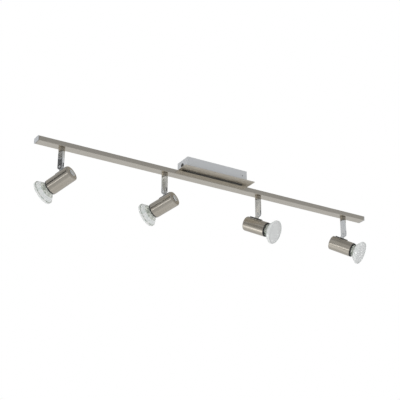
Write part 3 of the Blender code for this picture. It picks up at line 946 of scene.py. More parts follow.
def rod(name: str, radius: float, start: Sequence[float], end: Sequence[float],
        facets: int = SMALL_FACETS) -> bpy.types.Object:
    """Makes a round bar between two points, mostly as a tool for holes.

    Args:
        name: the piece's name.
        radius: the bar's radius.
        start: the middle of one end.
        end: the middle of the other end.
        facets: facets round it.

    Returns:
        The new object.
    """
    start, end = Vector(start), Vector(end)
    along = end - start
    turn = UP.rotation_difference(along).to_matrix().to_4x4()
    profile = ((0.0, 0.0), (radius, 0.0), (radius, along.length), (0.0, along.length))
    return turned(name, profile, facets, matrix=Matrix.Translation(start) @ turn)


def tube(name: str, path: Sequence[Triple], radius: float) -> bpy.types.Object:
    """Makes a smooth round wire through points, as a mesh.

    Args:
        name: the piece's name.
        path: the points that it passes.
        radius: the wire's radius.

    Returns:
        The new object.
    """
    curve = bpy.data.curves.new(name + "_line", "CURVE")
    curve.dimensions = "3D"
    curve.bevel_depth = radius
    curve.bevel_resolution = 3
    curve.use_fill_caps = True
    spline = curve.splines.new("BEZIER")
    spline.bezier_points.add(len(path) - 1)
    for point, place in zip(spline.bezier_points, path):
        point.co = place
        point.handle_left_type = point.handle_right_type = "AUTO"
    guide = stand(name + "_line", curve)
    graph = bpy.context.evaluated_depsgraph_get()
    bm = bmesh.new()
    bm.from_mesh(bpy.data.meshes.new_from_object(guide.evaluated_get(graph)))
    bpy.data.objects.remove(guide, do_unlink=True)
    bmesh.ops.remove_doubles(bm, verts=bm.verts, dist=NEAR)
    return piece_from(name, bm)


def merged(name: str, parts: Sequence[bpy.types.Object]) -> bpy.types.Object:
    """Puts several separate shapes into one piece.

    Args:
        name: the piece's name.
        parts: the shapes, which are used up.

    Returns:
        The new object.
    """
    bm = bmesh.new()
    for part in parts:
        bm.from_mesh(part.data)
        bpy.data.objects.remove(part, do_unlink=True)
    return piece_from(name, bm)


def threaded(radius: float, start: float, end: float, pitch: float, depth: float) -> list[Pair]:
    """Gives the (radius, height) points of a thread's ridges from start to end.

    Args:
        radius: over the crests.
        start: the height of the first ridge.
        end: the height where the thread stops.
        pitch: from crest to crest.
        depth: from crest to root.

    Returns:
        The points.
    """
    count = max(1, int(abs(end - start) / pitch))
    step = (end - start) / count
    points: list[Pair] = []
    for i in range(count):
        points += [(radius - depth, start + step * i), (radius, start + step * (i + 0.5))]
    return points + [(radius - depth, end)]


def dress(obj: bpy.types.Object, finish: Finish, body: str, nodes: Sequence[str] = (),
          matrix: Matrix | None = None) -> bpy.types.Object:
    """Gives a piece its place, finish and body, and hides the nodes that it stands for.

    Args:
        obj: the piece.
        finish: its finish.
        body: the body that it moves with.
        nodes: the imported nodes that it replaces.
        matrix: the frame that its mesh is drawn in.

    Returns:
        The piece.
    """
    if matrix is not None:
        obj.matrix_world = matrix
    if not obj.data.materials:
        obj.data.materials.append(finish.material)
    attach(obj, body)
    if nodes:
        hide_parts(*nodes)
    LOG.info("%s: %s on %s, %d faces", obj.name, finish.name, body, len(obj.data.polygons))
    return obj


# --- canopy -----------------------------------------------------------------------------------------


@dataclass
class Canopy:
    """The box on the ceiling, its bracket, tray, bolts, screws and terminal block.

    Attributes:
        box: length, depth and height of the cover.
        wall: its sheet thickness.
        corner: the radius of its folds.
        tray: length, depth and thickness of the tray.
        tray_corner: the radius of the tray's corners.
        bracket: width and thickness of the strip.
        ear: how far its ears hang down.
        slot: place along X, length and width of its slots.
        screw_z: the height of the side screws.
        screw: shank and head radius of the side screws.
        screw_dome: angles of the rows of the screws' domed heads.
        cross: reach and half width of their cross recess.
        bolt: radius, bore and head radius of the hollow bolts.
        boss: the radius of the tray's bosses.
        earth: place along X and radius of the earthing holes.
        vent: place from the right end and radius of the hole in the front.
        shade_strip: half length, half depth and thickness of the black strip between tray and rail, painted
            shade in that gap.
        terminal: length, depth and height of the terminal block.
        way: the radius of its wire ways.
        well: radius and depth of its screw wells.
        lead: radius of the wires and of the circle that they share in the bolt.
    """

    box: Triple = (0.144, 0.043, 0.025)
    wall: float = 0.0010
    corner: float = 0.0020
    tray: Triple = (0.167, 0.067, 0.0012)
    tray_corner: float = 0.0012
    bracket: Pair = (0.022, 0.0015)
    ear: float = 0.0170
    slot: Triple = (0.036, 0.014, 0.0045)
    screw_z: float = -0.0120
    screw: Pair = (0.0020, 0.0045)
    screw_dome: tuple[float, ...] = (0.0, 0.35, 0.7, 1.0, 1.25, 1.45, pi / 2)
    cross: Pair = (0.0019, 0.00045)
    bolt: Triple = (0.0045, 0.0028, 0.0068)
    boss: float = 0.0085
    earth: Pair = (0.058, 0.0017)
    vent: Pair = (0.012, 0.0012)
    shade_strip: Triple = (0.067, 0.0092, 0.0023)
    terminal: Triple = (0.0270, 0.0150, 0.0110)
    way: float = 0.0018
    well: Pair = (0.0017, 0.0025)
    lead: Pair = (0.0010, 0.0013)

    def build(self) -> None:
        """Builds and dresses every piece of the canopy."""
        dress(self.make_bracket(), ZINC, "root", ["ceiling_bracket"])
        dress(self.make_cover(), PAINT, "root", ["canopy_box"])
        dress(self.make_tray(), LIT_NICKEL, "root", ["canopy_plate"])
        # black strip between tray and rail: painted shade in the gap
        dress(self.make_shade_strip(), PLASTIC, "root")
        for name, side in ENDS:
            dress(self.make_screw(f"side_screw_{name}", side), DARK, "root", [f"bracket_screw_{name}"])
            dress(self.make_bolt(f"hollow_bolt_{name}", side), ZINC, "root", [f"canopy_bolt_{name}"])
        dress(self.make_terminal(), CERAMIC, "root", ["terminal_block"])
        dress(self.make_clamp_screws(), ZINC, "root")
        for index in range(3):
            dress(self.make_lead(index), SHEATH, "root")

    def make_bracket(self) -> bpy.types.Object:
        """Bends the strip into its two ears and punches its slots and screw holes.

        Returns:
            The new object.
        """
        width, thickness = self.bracket
        half = self.box[0] / 2 - self.wall - 2 * GAP
        inner = half - thickness
        outline = (
            (-half, -self.ear), (-inner, -self.ear), (-inner, -thickness), (inner, -thickness),
            (inner, -self.ear), (half, -self.ear), (half, 0.0), (-half, 0.0),
        )
        soft, bend = 0.0003, 0.0006
        radii = (soft, soft, bend, bend, soft, soft, bend + thickness, bend + thickness)
        strip = prism("bracket_strip", filleted(outline, radii, 5), width, FLAT_TO_FRONT)
        place, length, room = self.slot
        reach = (length - room) / 2
        ends = arc((reach, 0.0), room / 2, -pi / 2, pi / 2, 12)
        ends += arc((-reach, 0.0), room / 2, pi / 2, 3 * pi / 2, 12)
        earth_x, earth_radius = self.earth
        tools = []
        for side in SIDES:
            shift = Matrix.Translation((side * place, 0.0, 0.0))
            tools.append(prism("slot_tool", ends, 4 * thickness, shift))
            start, end, z = side * (inner - PAST), side * (half + PAST), self.screw_z
            tools.append(rod("ear_tool", self.screw[0] + GAP, (start, 0.0, z), (end, 0.0, z)))
            x = side * earth_x
            tools.append(rod("earth_tool", earth_radius, (x, 0.0, -PAST), (x, 0.0, PAST)))
        return true_flats(carve(strip, tools))

    def make_cover(self) -> bpy.types.Object:
        """Folds the open box and drills its ends and floor.

        Returns:
            The new object.
        """
        length, depth, height = self.box
        bm = bmesh.new()
        bmesh.ops.create_cube(bm, size=1.0)
        bmesh.ops.scale(bm, vec=self.box, verts=bm.verts)
        bmesh.ops.translate(bm, vec=(0.0, 0.0, -height / 2), verts=bm.verts)
        bmesh.ops.delete(bm, geom=[face for face in bm.faces if face.normal.z > 0.9], context="FACES_ONLY")
        folds = [edge for edge in bm.edges if not edge.is_boundary]
        bmesh.ops.bevel(bm, geom=folds, offset=self.corner, segments=6, profile=0.5, affect="EDGES")
        cover = piece_from("canopy_cover", bm)
        modify(cover, "SOLIDIFY", thickness=self.wall, offset=-1.0, use_even_offset=True)
        settle(cover)
        tools = []
        for side in SIDES:
            x, z = side * length / 2, self.screw_z
            tools.append(rod("end_tool", self.screw[0] + GAP, (x - PAST, 0.0, z), (x + PAST, 0.0, z)))
            x, z = side * BOLT_X, -height
            tools.append(rod("floor_tool", self.bolt[0] + GAP, (x, 0.0, z - PAST), (x, 0.0, z + PAST)))
        x, z = length / 2 - self.vent[0], -height / 2
        tools.append(rod("vent_tool", self.vent[1], (x, -depth, z), (x, -depth / 2 + PAST, z), 24))
        return true_flats(carve(cover, tools))

    def make_tray(self) -> bpy.types.Object:
        """Makes the tray, with the two bosses that hold the rail off it.

        Returns:
            The new object.
        """
        length, depth, thickness = self.tray
        x, y = length / 2, depth / 2
        plan = filleted(((x, y), (-x, y), (-x, -y), (x, -y)), self.tray_corner, 6)
        top, rail_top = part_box("canopy_plate")[1].z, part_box("rail")[1].z
        middle = top - thickness / 2
        tray = ease(prism("canopy_tray", plan, thickness, Matrix.Translation((0.0, 0.0, middle))), 0.0003)
        bosses, holes = [], []
        for side in SIDES:
            x = side * BOLT_X
            bosses.append(rod("boss", self.boss, (x, 0.0, middle), (x, 0.0, rail_top + GAP), 64))
            start, end = (x, 0.0, top + PAST), (x, 0.0, rail_top - PAST)
            holes.append(rod("boss_tool", self.bolt[0] + GAP, start, end))
        return true_flats(carve(carve(tray, bosses, "UNION"), holes))

    def make_shade_strip(self) -> bpy.types.Object:
        """Cuts the black strip between tray and rail, a dark sheet put in that gap as painted shade.

        Returns:
            The new object.
        """
        x, y, thickness = self.shade_strip
        top = -self.box[2] - GAP - self.tray[2] - 0.0001
        return slab("gap_shade_strip", (-x, -y, top - thickness), (x, y, top), 0.0004)

    def make_screw(self, name: str, side: int) -> bpy.types.Object:
        """Makes a pan-head screw with a cross recess and a threaded shank.

        Args:
            name: the piece's name.
            side: -1 on the left, 1 on the right.

        Returns:
            The new object.
        """
        shank, head = self.screw
        tip = -self.wall - self.bracket[1] - 0.0040
        dome = [(head * sin(a), GAP + 0.0004 + 0.0013 * cos(a)) for a in self.screw_dome]
        profile = dome + [(head, GAP), (shank, GAP)] + threaded(shank, -0.0006, tip + 0.0006, 0.0007, 0.0003)
        profile += [(shank * 0.5, tip), (0.0, tip)]
        screw = turned(name, profile, SMALL_FACETS)
        reach, half = self.cross
        bars = ((reach, half), (half, reach))
        carve(screw, [slab("cross_tool", (-x, -y, 0.0008), (x, y, PAST)) for x, y in bars])
        turn = Matrix.Rotation(side * pi / 2, 4, "Y")
        screw.data.transform(Matrix.Translation((side * self.box[0] / 2, 0.0, self.screw_z)) @ turn)
        return true_flats(screw)

    def make_bolt(self, name: str, side: int) -> bpy.types.Object:
        """Makes a hollow hexagon-headed bolt.

        Args:
            name: the piece's name.
            side: -1 on the left, 1 on the right.

        Returns:
            The new object.
        """
        radius, bore, across = self.bolt
        low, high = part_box(f"canopy_bolt_{name.rsplit('_', 1)[-1]}")
        seat = -self.box[2] + self.wall + GAP
        hexagon = [(across * cos(pi / 3 * i), across * sin(pi / 3 * i)) for i in range(6)]
        head = prism(name, hexagon, high.z - seat, Matrix.Translation((0.0, 0.0, (high.z + seat) / 2)))
        ease(head, 0.0004, 2)
        shank = [(0.0, seat + 0.001), (radius, seat + 0.001)]
        shank += threaded(radius, seat - 0.0012, low.z + 0.0004, 0.0009, 0.0003)
        shank += [(radius - 0.0006, low.z), (0.0, low.z)]
        carve(head, [turned("shank", shank, SMALL_FACETS)], "UNION")
        carve(head, [rod("bore_tool", bore, (0.0, 0.0, low.z - PAST), (0.0, 0.0, high.z + PAST))])
        head.data.transform(Matrix.Translation((side * BOLT_X, 0.0, 0.0)))
        return true_flats(head)

    def make_terminal(self) -> bpy.types.Object:
        """Makes the three-pole block, with its wire ways and screw wells.

        Returns:
            The new object.
        """
        length, depth, _ = self.terminal
        radius, well = self.well
        low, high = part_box("terminal_block")
        block = slab("steatite_block", low, high, 0.0008)
        tools = []
        for pole in (-1, 0, 1):
            x, z = pole * length / 3, (low.z + high.z) / 2
            tools.append(rod("way_tool", self.way, (x, -depth, z), (x, depth, z), 32))
            for row in SIDES:
                y = row * depth / 4
                tools.append(rod("well_tool", radius, (x, y, low.z - PAST), (x, y, low.z + well), 32))
        for gap in (-0.5, 0.5):
            x = gap * length / 3
            near, far = (x - 0.0006, -depth, low.z - PAST), (x + 0.0006, depth, low.z + 0.0015)
            tools.append(slab("valley_tool", near, far))
        return true_flats(carve(block, tools))

    def make_clamp_screws(self) -> bpy.types.Object:
        """Makes the six slotted screws in the terminal block's wells.

        Returns:
            The new object.
        """
        length, depth, _ = self.terminal
        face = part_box("terminal_block")[0].z
        radius, half, top, foot = self.well[0] - 0.0002, 0.0002, face + 0.0023, face + 0.0005
        rim = filleted(((0.0, top), (radius, top), (radius, foot), (0.0, foot)), 0.0002, 2, False)
        made = []
        for pole in (-1, 0, 1):
            for row in SIDES:
                x, y = pole * length / 3, row * depth / 4
                screw = turned("clamp", rim, 32, matrix=Matrix.Translation((x, y, 0.0)))
                reach = self.well[0] + 0.0001
                slit = slab("slit_tool", (x - reach, y - half, face), (x + reach, y + half, face + 0.0011))
                made.append(carve(screw, [slit]))
        return merged("clamp_screws", made)

    def make_lead(self, index: int) -> bpy.types.Object:
        """Makes one inner wire, from the terminal block into the left hollow bolt.

        Args:
            index: which pole it starts at, 0 to 2.

        Returns:
            The new object.
        """
        length, depth, _ = self.terminal
        radius, circle = self.lead
        low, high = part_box("terminal_block")
        x, z = (index - 1) * length / 3, (low.z + high.z) / 2
        around = 2 * pi * index / 3
        end_x, end_y = -BOLT_X + circle * cos(around), circle * sin(around)
        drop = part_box("canopy_bolt_left")[1].z
        path = (
            (x, -depth / 2 + 0.003, z), (x - 0.001, -depth / 2 - 0.004 - 0.0012 * index, z - 0.001),
            (-0.022 + 0.002 * index, -0.0095, z - 0.003), (end_x + 0.004, end_y - 0.003, drop + 0.007),
            (end_x, end_y, drop + 0.002), (end_x, end_y, drop - 0.006),
        )
        return tube(f"inner_lead_{index + 1}", path, radius)


# --- rail -------------------------------------------------------------------------------------------


@dataclass
class Rail:
    """The rectangular tube, its two caps and the wiring in it.

    Attributes:
        depth: across the tube.
        height: of the tube.
        wall: its wall.
        corner: the radius of its long edges.
        bolt_hole: the radius of the holes above.
        swivel_hole: the radius of the holes below.
        loom: radius of the wiring.
        lays: ridges along the wiring.
    """

    depth: float = 0.0200
    height: float = 0.0100
    wall: float = 0.0010
    corner: float = 0.0010
    bolt_hole: float = 0.0048
    swivel_hole: float = 0.0039
    loom: float = 0.0013
    lays: int = 94

    def build(self, swivels: Sequence[Vector]) -> None:
        """Builds and dresses the rail's pieces.

        Args:
            swivels: the points where the spots hang from the rail.
        """
        dress(self.make_tube(swivels), NICKEL, "root", ["rail"])
        dress(self.make_loom(), SHEATH, "root", ["rail_harness"])
        for name, side in ENDS:
            dress(self.make_cap(name, side), PAINT, "root", [f"end_cap_{name}"])

    def section(self, inset: float, corner: float) -> list[Pair]:
        """Gives the tube's outline across, inset from its outside."""
        y, z = self.depth / 2 - inset, self.height / 2 - inset
        return filleted(((y, z), (-y, z), (-y, -z), (y, -z)), corner, 5)

    def make_tube(self, swivels: Sequence[Vector]) -> bpy.types.Object:
        """Draws the tube and drills it.

        Args:
            swivels: the points where the spots hang from the rail.

        Returns:
            The new object.
        """
        low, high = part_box("rail")
        middle = (low.z + high.z) / 2
        outer, inner = self.section(0.0, self.corner), self.section(self.wall, self.corner / 2)
        bm = bmesh.new()
        rings = []
        for outline, x in ((outer, low.x), (outer, high.x), (inner, high.x), (inner, low.x)):
            rings.append([bm.verts.new((x, y, middle + z)) for y, z in outline])
        for first, second in zip(rings, rings[1:] + rings[:1]):
            span(bm, first, second, len(outer))
        bores = [(self.bolt_hole, Vector((side * BOLT_X, 0.0, high.z))) for side in SIDES]
        bores += [(self.swivel_hole, point) for point in swivels]
        tools = [rod("bore_tool", radius, point - PAST * UP, point + PAST * UP) for radius, point in bores]
        return true_flats(carve(piece_from("rail_tube", bm), tools))

    def make_loom(self) -> bpy.types.Object:
        """Makes the sheathed wiring along the inside of the tube.

        Returns:
            The new object.
        """
        low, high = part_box("rail_harness")
        radius, length = self.loom, high.x - low.x
        ridge, count = 0.00006, self.lays
        profile = [(0.0, 0.0), (radius - 0.0003, 0.0)]
        for i in range(count):
            profile += [(radius - ridge, length * (i + 0.25) / count), (radius, length * (i + 0.75) / count)]
        profile += [(radius - 0.0003, length), (0.0, length)]
        place = Matrix.Translation((low.x, (low.y + high.y) / 2, (low.z + high.z) / 2))
        return turned("rail_loom", profile, 20, matrix=place @ Z_TO_X)

    def make_cap(self, name: str, side: int) -> bpy.types.Object:
        """Makes an end cap with its plug.

        Args:
            name: left or right.
            side: -1 on the left, 1 on the right.

        Returns:
            The new object.
        """
        low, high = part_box(f"end_cap_{name}")
        rail_low, rail_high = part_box("rail")
        edge = rail_low.x - GAP if side < 0 else rail_high.x + GAP
        near, far = (low.x, edge) if side < 0 else (edge, high.x)
        cap = slab(f"rail_cap_{name}", (near, low.y, low.z), (far, high.y, high.z), 0.0006, 4)
        inset = self.wall + GAP
        start, end = (edge - 0.0005, high.x) if side < 0 else (low.x, edge + 0.0005)
        near, far = (start, low.y + inset, low.z + inset), (end, high.y - inset, high.z - inset)
        plug = slab("plug", near, far, 0.0004, 2)
        return true_flats(carve(cap, [plug], "UNION"))


# --- spots ------------------------------------------------------------------------------------------


@dataclass(frozen=True)
class SpotAxes:
    """Where one spot stands and points.

    Attributes:
        number: which spot, from 1.
        swivel: the point where it hangs from the rail.
        pin: the middle of its tilt pin.
        across: the direction of the pin.
        aim: the direction that its lamp points in.
    """

    number: int
    swivel: Vector
    pin: Vector
    across: Vector
    aim: Vector

    @classmethod
    def from_joints(cls, number: int, joints: dict) -> "SpotAxes":
        """Reads a spot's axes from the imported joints.

        Args:
            number: which spot, from 1.
            joints: the joints by name.

        Returns:
            The spot's axes.
        """
        tilt = joints[f"tilt_{number}"]
        return cls(
            number, Vector(joints[f"swivel_{number}"]["pos_m"]), Vector(tilt["pos_m"]),
            Vector(tilt["axis"]).normalized(), Vector(joints[f"lamp_twist_{number}"]["axis"]).normalized(),
        )

    def arm_frame(self) -> Matrix:
        """Gives the arm's frame: origin at the rail, Z up, Y along the pin."""
        return self.frame(self.swivel, self.across.cross(UP), UP)

    def head_frame(self) -> Matrix:
        """Gives the head's frame: origin on the pin, X along the aim, Y along the pin."""
        return self.frame(self.pin, self.aim, self.aim.cross(self.across))

    def frame(self, origin: Vector, x: Vector, z: Vector) -> Matrix:
        """Gives the matrix of a frame whose Y axis is the pin."""
        turn = Matrix((x, self.across, z)).transposed().to_4x4()
        return Matrix.Translation(origin) @ turn


@dataclass
class Arm:
    """The swivel and the chrome arm of one spot.

    Attributes:
        axes: where the spot is.
        collar: radius and height of the collar.
        stud: radius, bore and head radius of the hollow swivel stud.
        width: of the arm.
        thickness: of the arm.
        slot: width of the fork's slot.
        rise: how far the slot reaches above the pin.
        rivet: radius of the pin, radius and crown of its ends.
        rivet_dome: angles of the rows of its domed ends.
    """

    axes: SpotAxes
    collar: Pair = (0.0064, 0.0072)
    stud: Triple = (0.0028, 0.0017, 0.0056)
    width: float = 0.0115
    thickness: float = 0.0066
    slot: float = 0.0038
    rise: float = 0.0088
    rivet: Triple = (0.0014, 0.0023, 0.0007)
    rivet_dome: tuple[float, ...] = (0.0, 0.3, 0.6, 0.9, 1.2, 1.4, pi / 2)

    @property
    def drop(self) -> float:
        """How far the pin is below the rail."""
        return self.axes.swivel.z - self.axes.pin.z

    def build(self) -> None:
        """Builds and dresses the collar, stud, arm and rivet."""
        k = self.axes.number
        place, body = self.axes.arm_frame(), f"arm_{k}"
        dress(self.make_collar(), SHADED_NICKEL, "root", [f"swivel_collar_{k}"], place)
        dress(self.make_stud(), ZINC, body, [f"swivel_bolt_{k}"], place)
        dress(self.make_bar(), CHROME, body, [f"arm_{k}"], place)
        dress(self.make_rivet(), CHROME, body, [f"tilt_pin_{k}"], place)
        # black block in the fork's slot: painted shade
        dress(self.make_slot_shade(), PLASTIC, body, (), place)

    def make_collar(self) -> bpy.types.Object:
        """Turns the collar, with a shallow groove round it.

        Returns:
            The new object.
        """
        radius, height = self.collar
        bore = self.stud[0] + GAP
        top, foot = -GAP, -GAP - height
        groove = foot + 0.0022
        corners = (
            (bore, top), (radius, top), (radius, groove + 0.0005), (radius - 0.0004, groove + 0.0003),
            (radius - 0.0004, groove - 0.0003), (radius, groove - 0.0005), (radius, foot), (bore, foot),
        )
        soft = 0.00012
        radii = (soft, 0.0003, soft, soft, soft, soft, 0.0005, soft)
        return true_flats(turned(f"collar_{self.axes.number}", filleted(corners, radii, 3), closed=True))

    def make_stud(self) -> bpy.types.Object:
        """Turns the hollow stud that hangs the arm from the rail's lower wall.

        Returns:
            The new object.
        """
        radius, bore, head = self.stud
        under = 0.0010 + GAP
        foot = -self.collar[1] - 2 * GAP - 0.0080
        over = under + 0.0030
        corners = ((bore, over), (head, over), (head, under), (radius - GAP, under))
        profile = filleted(corners, (0.0002, 0.0005, 0.0002, 0.0002), 3, False)
        profile += threaded(radius - GAP, -self.collar[1] + 0.0005, foot + 0.0002, 0.0007, 0.0002)
        profile += [(bore, foot)]
        return turned(f"swivel_stud_{self.axes.number}", profile, 48, closed=True)

    def make_bar(self) -> bpy.types.Object:
        """Cuts the flat arm, with rounded edges, its fork and its bores.

        Returns:
            The new object.
        """
        half, pin = self.width / 2, -self.drop
        top = -self.collar[1] - 3 * GAP
        outline = filleted(((half, top), (-half, top)), 0.0, 1) + arc((0.0, pin), half, pi, 2 * pi, 28)
        bar = ease(prism(f"arm_bar_{self.axes.number}", outline, self.thickness, FLAT_TO_FRONT), 0.0006, 4)
        crown = pin + self.rise
        round_end = arc((0.0, crown - self.slot / 2), self.slot / 2, 0.0, pi, 12)
        slot_outline = round_end + [(-self.slot / 2, pin - self.width), (self.slot / 2, pin - self.width)]
        reach = self.thickness
        tools = [
            rod("socket_tool", self.stud[0], (0.0, 0.0, top + 0.003), (0.0, 0.0, top - 0.0086)),
            rod("way_tool", self.stud[1], (0.0, 0.0, top), (0.0, 0.0, crown - 0.0006)),
            prism("slot_tool", slot_outline, 2 * self.width, FLAT_TO_SIDE),
            rod("pin_tool", self.rivet[0] + GAP, (0.0, -reach, pin), (0.0, reach, pin)),
        ]
        return true_flats(carve(bar, tools))

    def make_slot_shade(self) -> bpy.types.Object:
        """Fills the top of the fork's slot with a black block, painted shade in the slot.

        Returns:
            The new object.
        """
        reach, half = 0.0052, self.slot / 2 - 0.0001
        foot, top = 0.0050 - self.drop, self.rise - 0.0013 - self.drop
        return slab(f"slot_shade_block_{self.axes.number}", (-reach, -half, foot), (reach, half, top), 0.0003)

    def make_rivet(self) -> bpy.types.Object:
        """Turns the tilt pin with its two domed ends.

        Returns:
            The new object.
        """
        reach = self.thickness / 2 + GAP
        stem, head, crown = self.rivet
        dome = [(head * sin(a), reach + crown * cos(a)) for a in self.rivet_dome]
        profile = dome + [(stem, reach), (stem, -reach)]
        profile += [(radius, -height) for radius, height in dome[::-1]]
        place = Matrix.Translation((0.0, 0.0, -self.drop)) @ FLAT_TO_FRONT
        return turned(f"tilt_rivet_{self.axes.number}", profile, SMALL_FACETS, matrix=place)


@dataclass
class Head:
    """The head of one spot: the lug, its pad, the sleeve and what is in it.

    Attributes:
        axes: where the spot is.
        sleeve: radius, wall and length of the sleeve.
        rear: where its rear is along the axis, from the pin.
        bend: the radius of its rear edge.
        lug: width and thickness of the lug.
        knuckle: its radius round the pin.
        rivet: radius of the pin and of the rivet end.
        pad: length, thickness and half angle of the pad on the sleeve.
        button: radius, stem radius and crown of the rear button.
        button_dome: angles of the rows of its dome.
        holder: radius, length and stand-off of the lamp holder.
        ring: bore, lip and plug length of the mouth ring.
        slots: offset, room and travel of the holder's pin slots.
    """

    axes: SpotAxes
    sleeve: Triple = (0.0155, 0.0010, 0.0514)
    rear: float = -0.0186
    bend: float = 0.0026
    lug: Pair = (0.0084, 0.0031)
    knuckle: float = 0.0046
    rivet: Pair = (0.0014, 0.0018)
    pad: Triple = (0.0280, 0.0015, radians(19.0))
    button: Triple = (0.0071, 0.0026, 0.0015)
    button_dome: tuple[float, ...] = (pi / 2, 1.35, 1.15, 0.9, 0.65, 0.4, 0.2, 0.0)
    holder: Triple = (0.0118, 0.0130, 0.0040)
    ring: Triple = (0.0136, 0.0026, 0.0060)
    slots: Triple = (0.0050, 0.0026, 0.0017)

    def build(self) -> None:
        """Builds and dresses every piece of the head."""
        k = self.axes.number
        place, body = self.axes.head_frame(), f"head_{k}"
        dress(self.make_lug(), CHROME, body, [f"head_lug_{k}"], place)
        dress(self.make_pad(), DARK, body, [f"head_saddle_{k}"], place)
        dress(self.make_sleeve(), NICKEL, body, [f"sleeve_{k}"], place)
        dress(self.make_button(), BUTTON, body, [f"rear_button_{k}"], place)
        dress(self.make_holder(), CERAMIC, body, [f"lamp_holder_{k}"], place)
        dress(self.make_ring(), PLASTIC, body, [f"mouth_ring_{k}"], place)

    def on_axis(self, x: float) -> Matrix:
        """Gives the place of a turned piece on the sleeve's axis, its Z out of the mouth."""
        return Matrix.Translation((x, 0.0, -AXIS_DROP)) @ Z_TO_X

    def make_lug(self) -> bpy.types.Object:
        """Cuts the lug, with its knuckle on the pin and its riveted foot.

        Returns:
            The new object.
        """
        width, thickness = self.lug
        radius, wall, _ = self.sleeve
        foot = -AXIS_DROP + radius + self.pad[1] + 2 * GAP
        meet = radians(24.0)
        outline = arc((0.0, 0.0), self.knuckle, -meet, pi + meet, 28)
        outline += [(-width / 2, foot), (width / 2, foot)]
        lug = ease(prism(f"lug_strap_{self.axes.number}", outline, thickness, FLAT_TO_FRONT), 0.0004)
        end = -AXIS_DROP + radius - wall - 3 * GAP
        stem = rod("stem", self.rivet[1], (0.0, 0.0, foot + 0.0006), (0.0, 0.0, end - 0.0006))
        tail = rod("tail", self.rivet[1] + 0.0009, (0.0, 0.0, end), (0.0, 0.0, end - 0.0009))
        carve(lug, [stem, tail], "UNION")
        hole = rod("pin_tool", self.rivet[0] + GAP, (0.0, -thickness, 0.0), (0.0, thickness, 0.0))
        return true_flats(carve(lug, [hole]))

    def make_pad(self) -> bpy.types.Object:
        """Presses the curved pad, with rounded corners, to the sleeve's shape.

        Returns:
            The new object.
        """
        length, thickness, half = self.pad
        inner = self.sleeve[0] + GAP
        high, low = pi / 2 + half, pi / 2 - half
        outline = arc((0.0, 0.0), inner, high, low, 20) + arc((0.0, 0.0), inner + thickness, low, high, 20)
        axis = Matrix.Translation((0.0, 0.0, -AXIS_DROP))
        pad = prism(f"saddle_pad_{self.axes.number}", outline, length, axis @ FLAT_TO_SIDE)
        x, y = length / 2, (inner + thickness) * sin(half)
        plan = filleted(((x, y), (-x, y), (-x, -y), (x, -y)), 0.0028, 8)
        carve(pad, [prism("plan_tool", plan, 0.05)], "INTERSECT")
        ease(pad, 0.00025, 2)
        hole = rod("pad_tool", self.rivet[1] + GAP, (0.0, 0.0, 0.0), (0.0, 0.0, -AXIS_DROP))
        return true_flats(carve(pad, [hole]))

    def make_sleeve(self) -> bpy.types.Object:
        """Draws the cup-shaped sleeve, with its rolled rear edge and eased mouth.

        Returns:
            The new object.
        """
        radius, wall, length = self.sleeve
        inside, hole = radius - wall, self.button[1] + GAP
        corners = (
            (inside, length), (radius, length), (radius, 0.0), (hole, 0.0), (hole, wall), (inside, wall),
        )
        radii = (0.0003, 0.0003, self.bend, 0.0002, 0.0002, self.bend - wall)
        profile = filleted(corners, radii, 10)
        place = self.on_axis(self.rear)
        sleeve = turned(f"sleeve_shell_{self.axes.number}", profile, closed=True, matrix=place)
        top = radius - AXIS_DROP
        drill = rod("rivet_tool", self.rivet[1] + GAP, (0.0, 0.0, top + 0.003), (0.0, 0.0, top - 0.004))
        return true_flats(carve(sleeve, [drill]))

    def make_button(self) -> bpy.types.Object:
        """Turns the domed screw cap in the middle of the sleeve's rear.

        Returns:
            The new object.
        """
        radius, stem, crown = self.button
        end = self.sleeve[1] + 0.0060
        dome = [(radius * sin(a), 0.0007 - crown - 0.0010 * cos(a)) for a in self.button_dome]
        profile = [(0.0, end), (stem - 0.0003, end)] + threaded(stem, end - 0.0004, 0.0014, 0.0007, 0.0002)
        profile += [(stem, -GAP), (radius, -GAP)] + dome
        return turned(f"rear_cap_{self.axes.number}", profile, matrix=self.on_axis(self.rear))

    def make_holder(self) -> bpy.types.Object:
        """Presses the lamp holder, with its two keyhole slots and the rear screw hole.

        Returns:
            The new object.
        """
        radius, length, stand = self.holder
        corners = ((0.0, length), (radius, length), (radius, length * 0.62), (radius - 0.0008, length * 0.56),
                   (radius - 0.0008, 0.0), (0.0, 0.0))
        profile = filleted(corners, 0.0006, 4, False)
        holder = turned(f"steatite_holder_{self.axes.number}", profile)
        offset, room, travel = self.slots
        top = self.sleeve[1] + 0.0063 - stand
        tools = [rod("screw_tool", self.button[1] + GAP, (0.0, 0.0, -PAST), (0.0, 0.0, top))]
        for side in SIDES:
            y = side * offset
            near, far = -side * (room + travel), side * room
            low = (min(near, far), y - room, length - 0.0080)
            tools.append(slab("slot_tool", low, (max(near, far), y + room, length + PAST)))
        carve(holder, tools)
        holder.data.transform(self.on_axis(self.rear + stand))
        return true_flats(holder)

    def make_ring(self) -> bpy.types.Object:
        """Moulds the black ring, with two fine steps on its lip.

        Returns:
            The new object.
        """
        radius, wall, length = self.sleeve
        bore, lip, tail = self.ring
        seat = length + GAP
        outer, plug = radius - GAP, radius - wall - GAP
        corners = (
            (bore, seat + lip), (outer - 0.0007, seat + lip), (outer - 0.0002, seat + lip * 0.55),
            (outer, seat + lip * 0.50), (outer, seat), (plug, seat),
            (plug, length - tail), (bore, length - tail),
        )
        radii = (0.0004, 0.0005, 0.0002, 0.0002, 0.0002, 0.0001, 0.0003, 0.0003)
        profile = filleted(corners, radii, 4)
        place = self.on_axis(self.rear)
        return turned(f"mouth_gasket_{self.axes.number}", profile, closed=True, matrix=place)


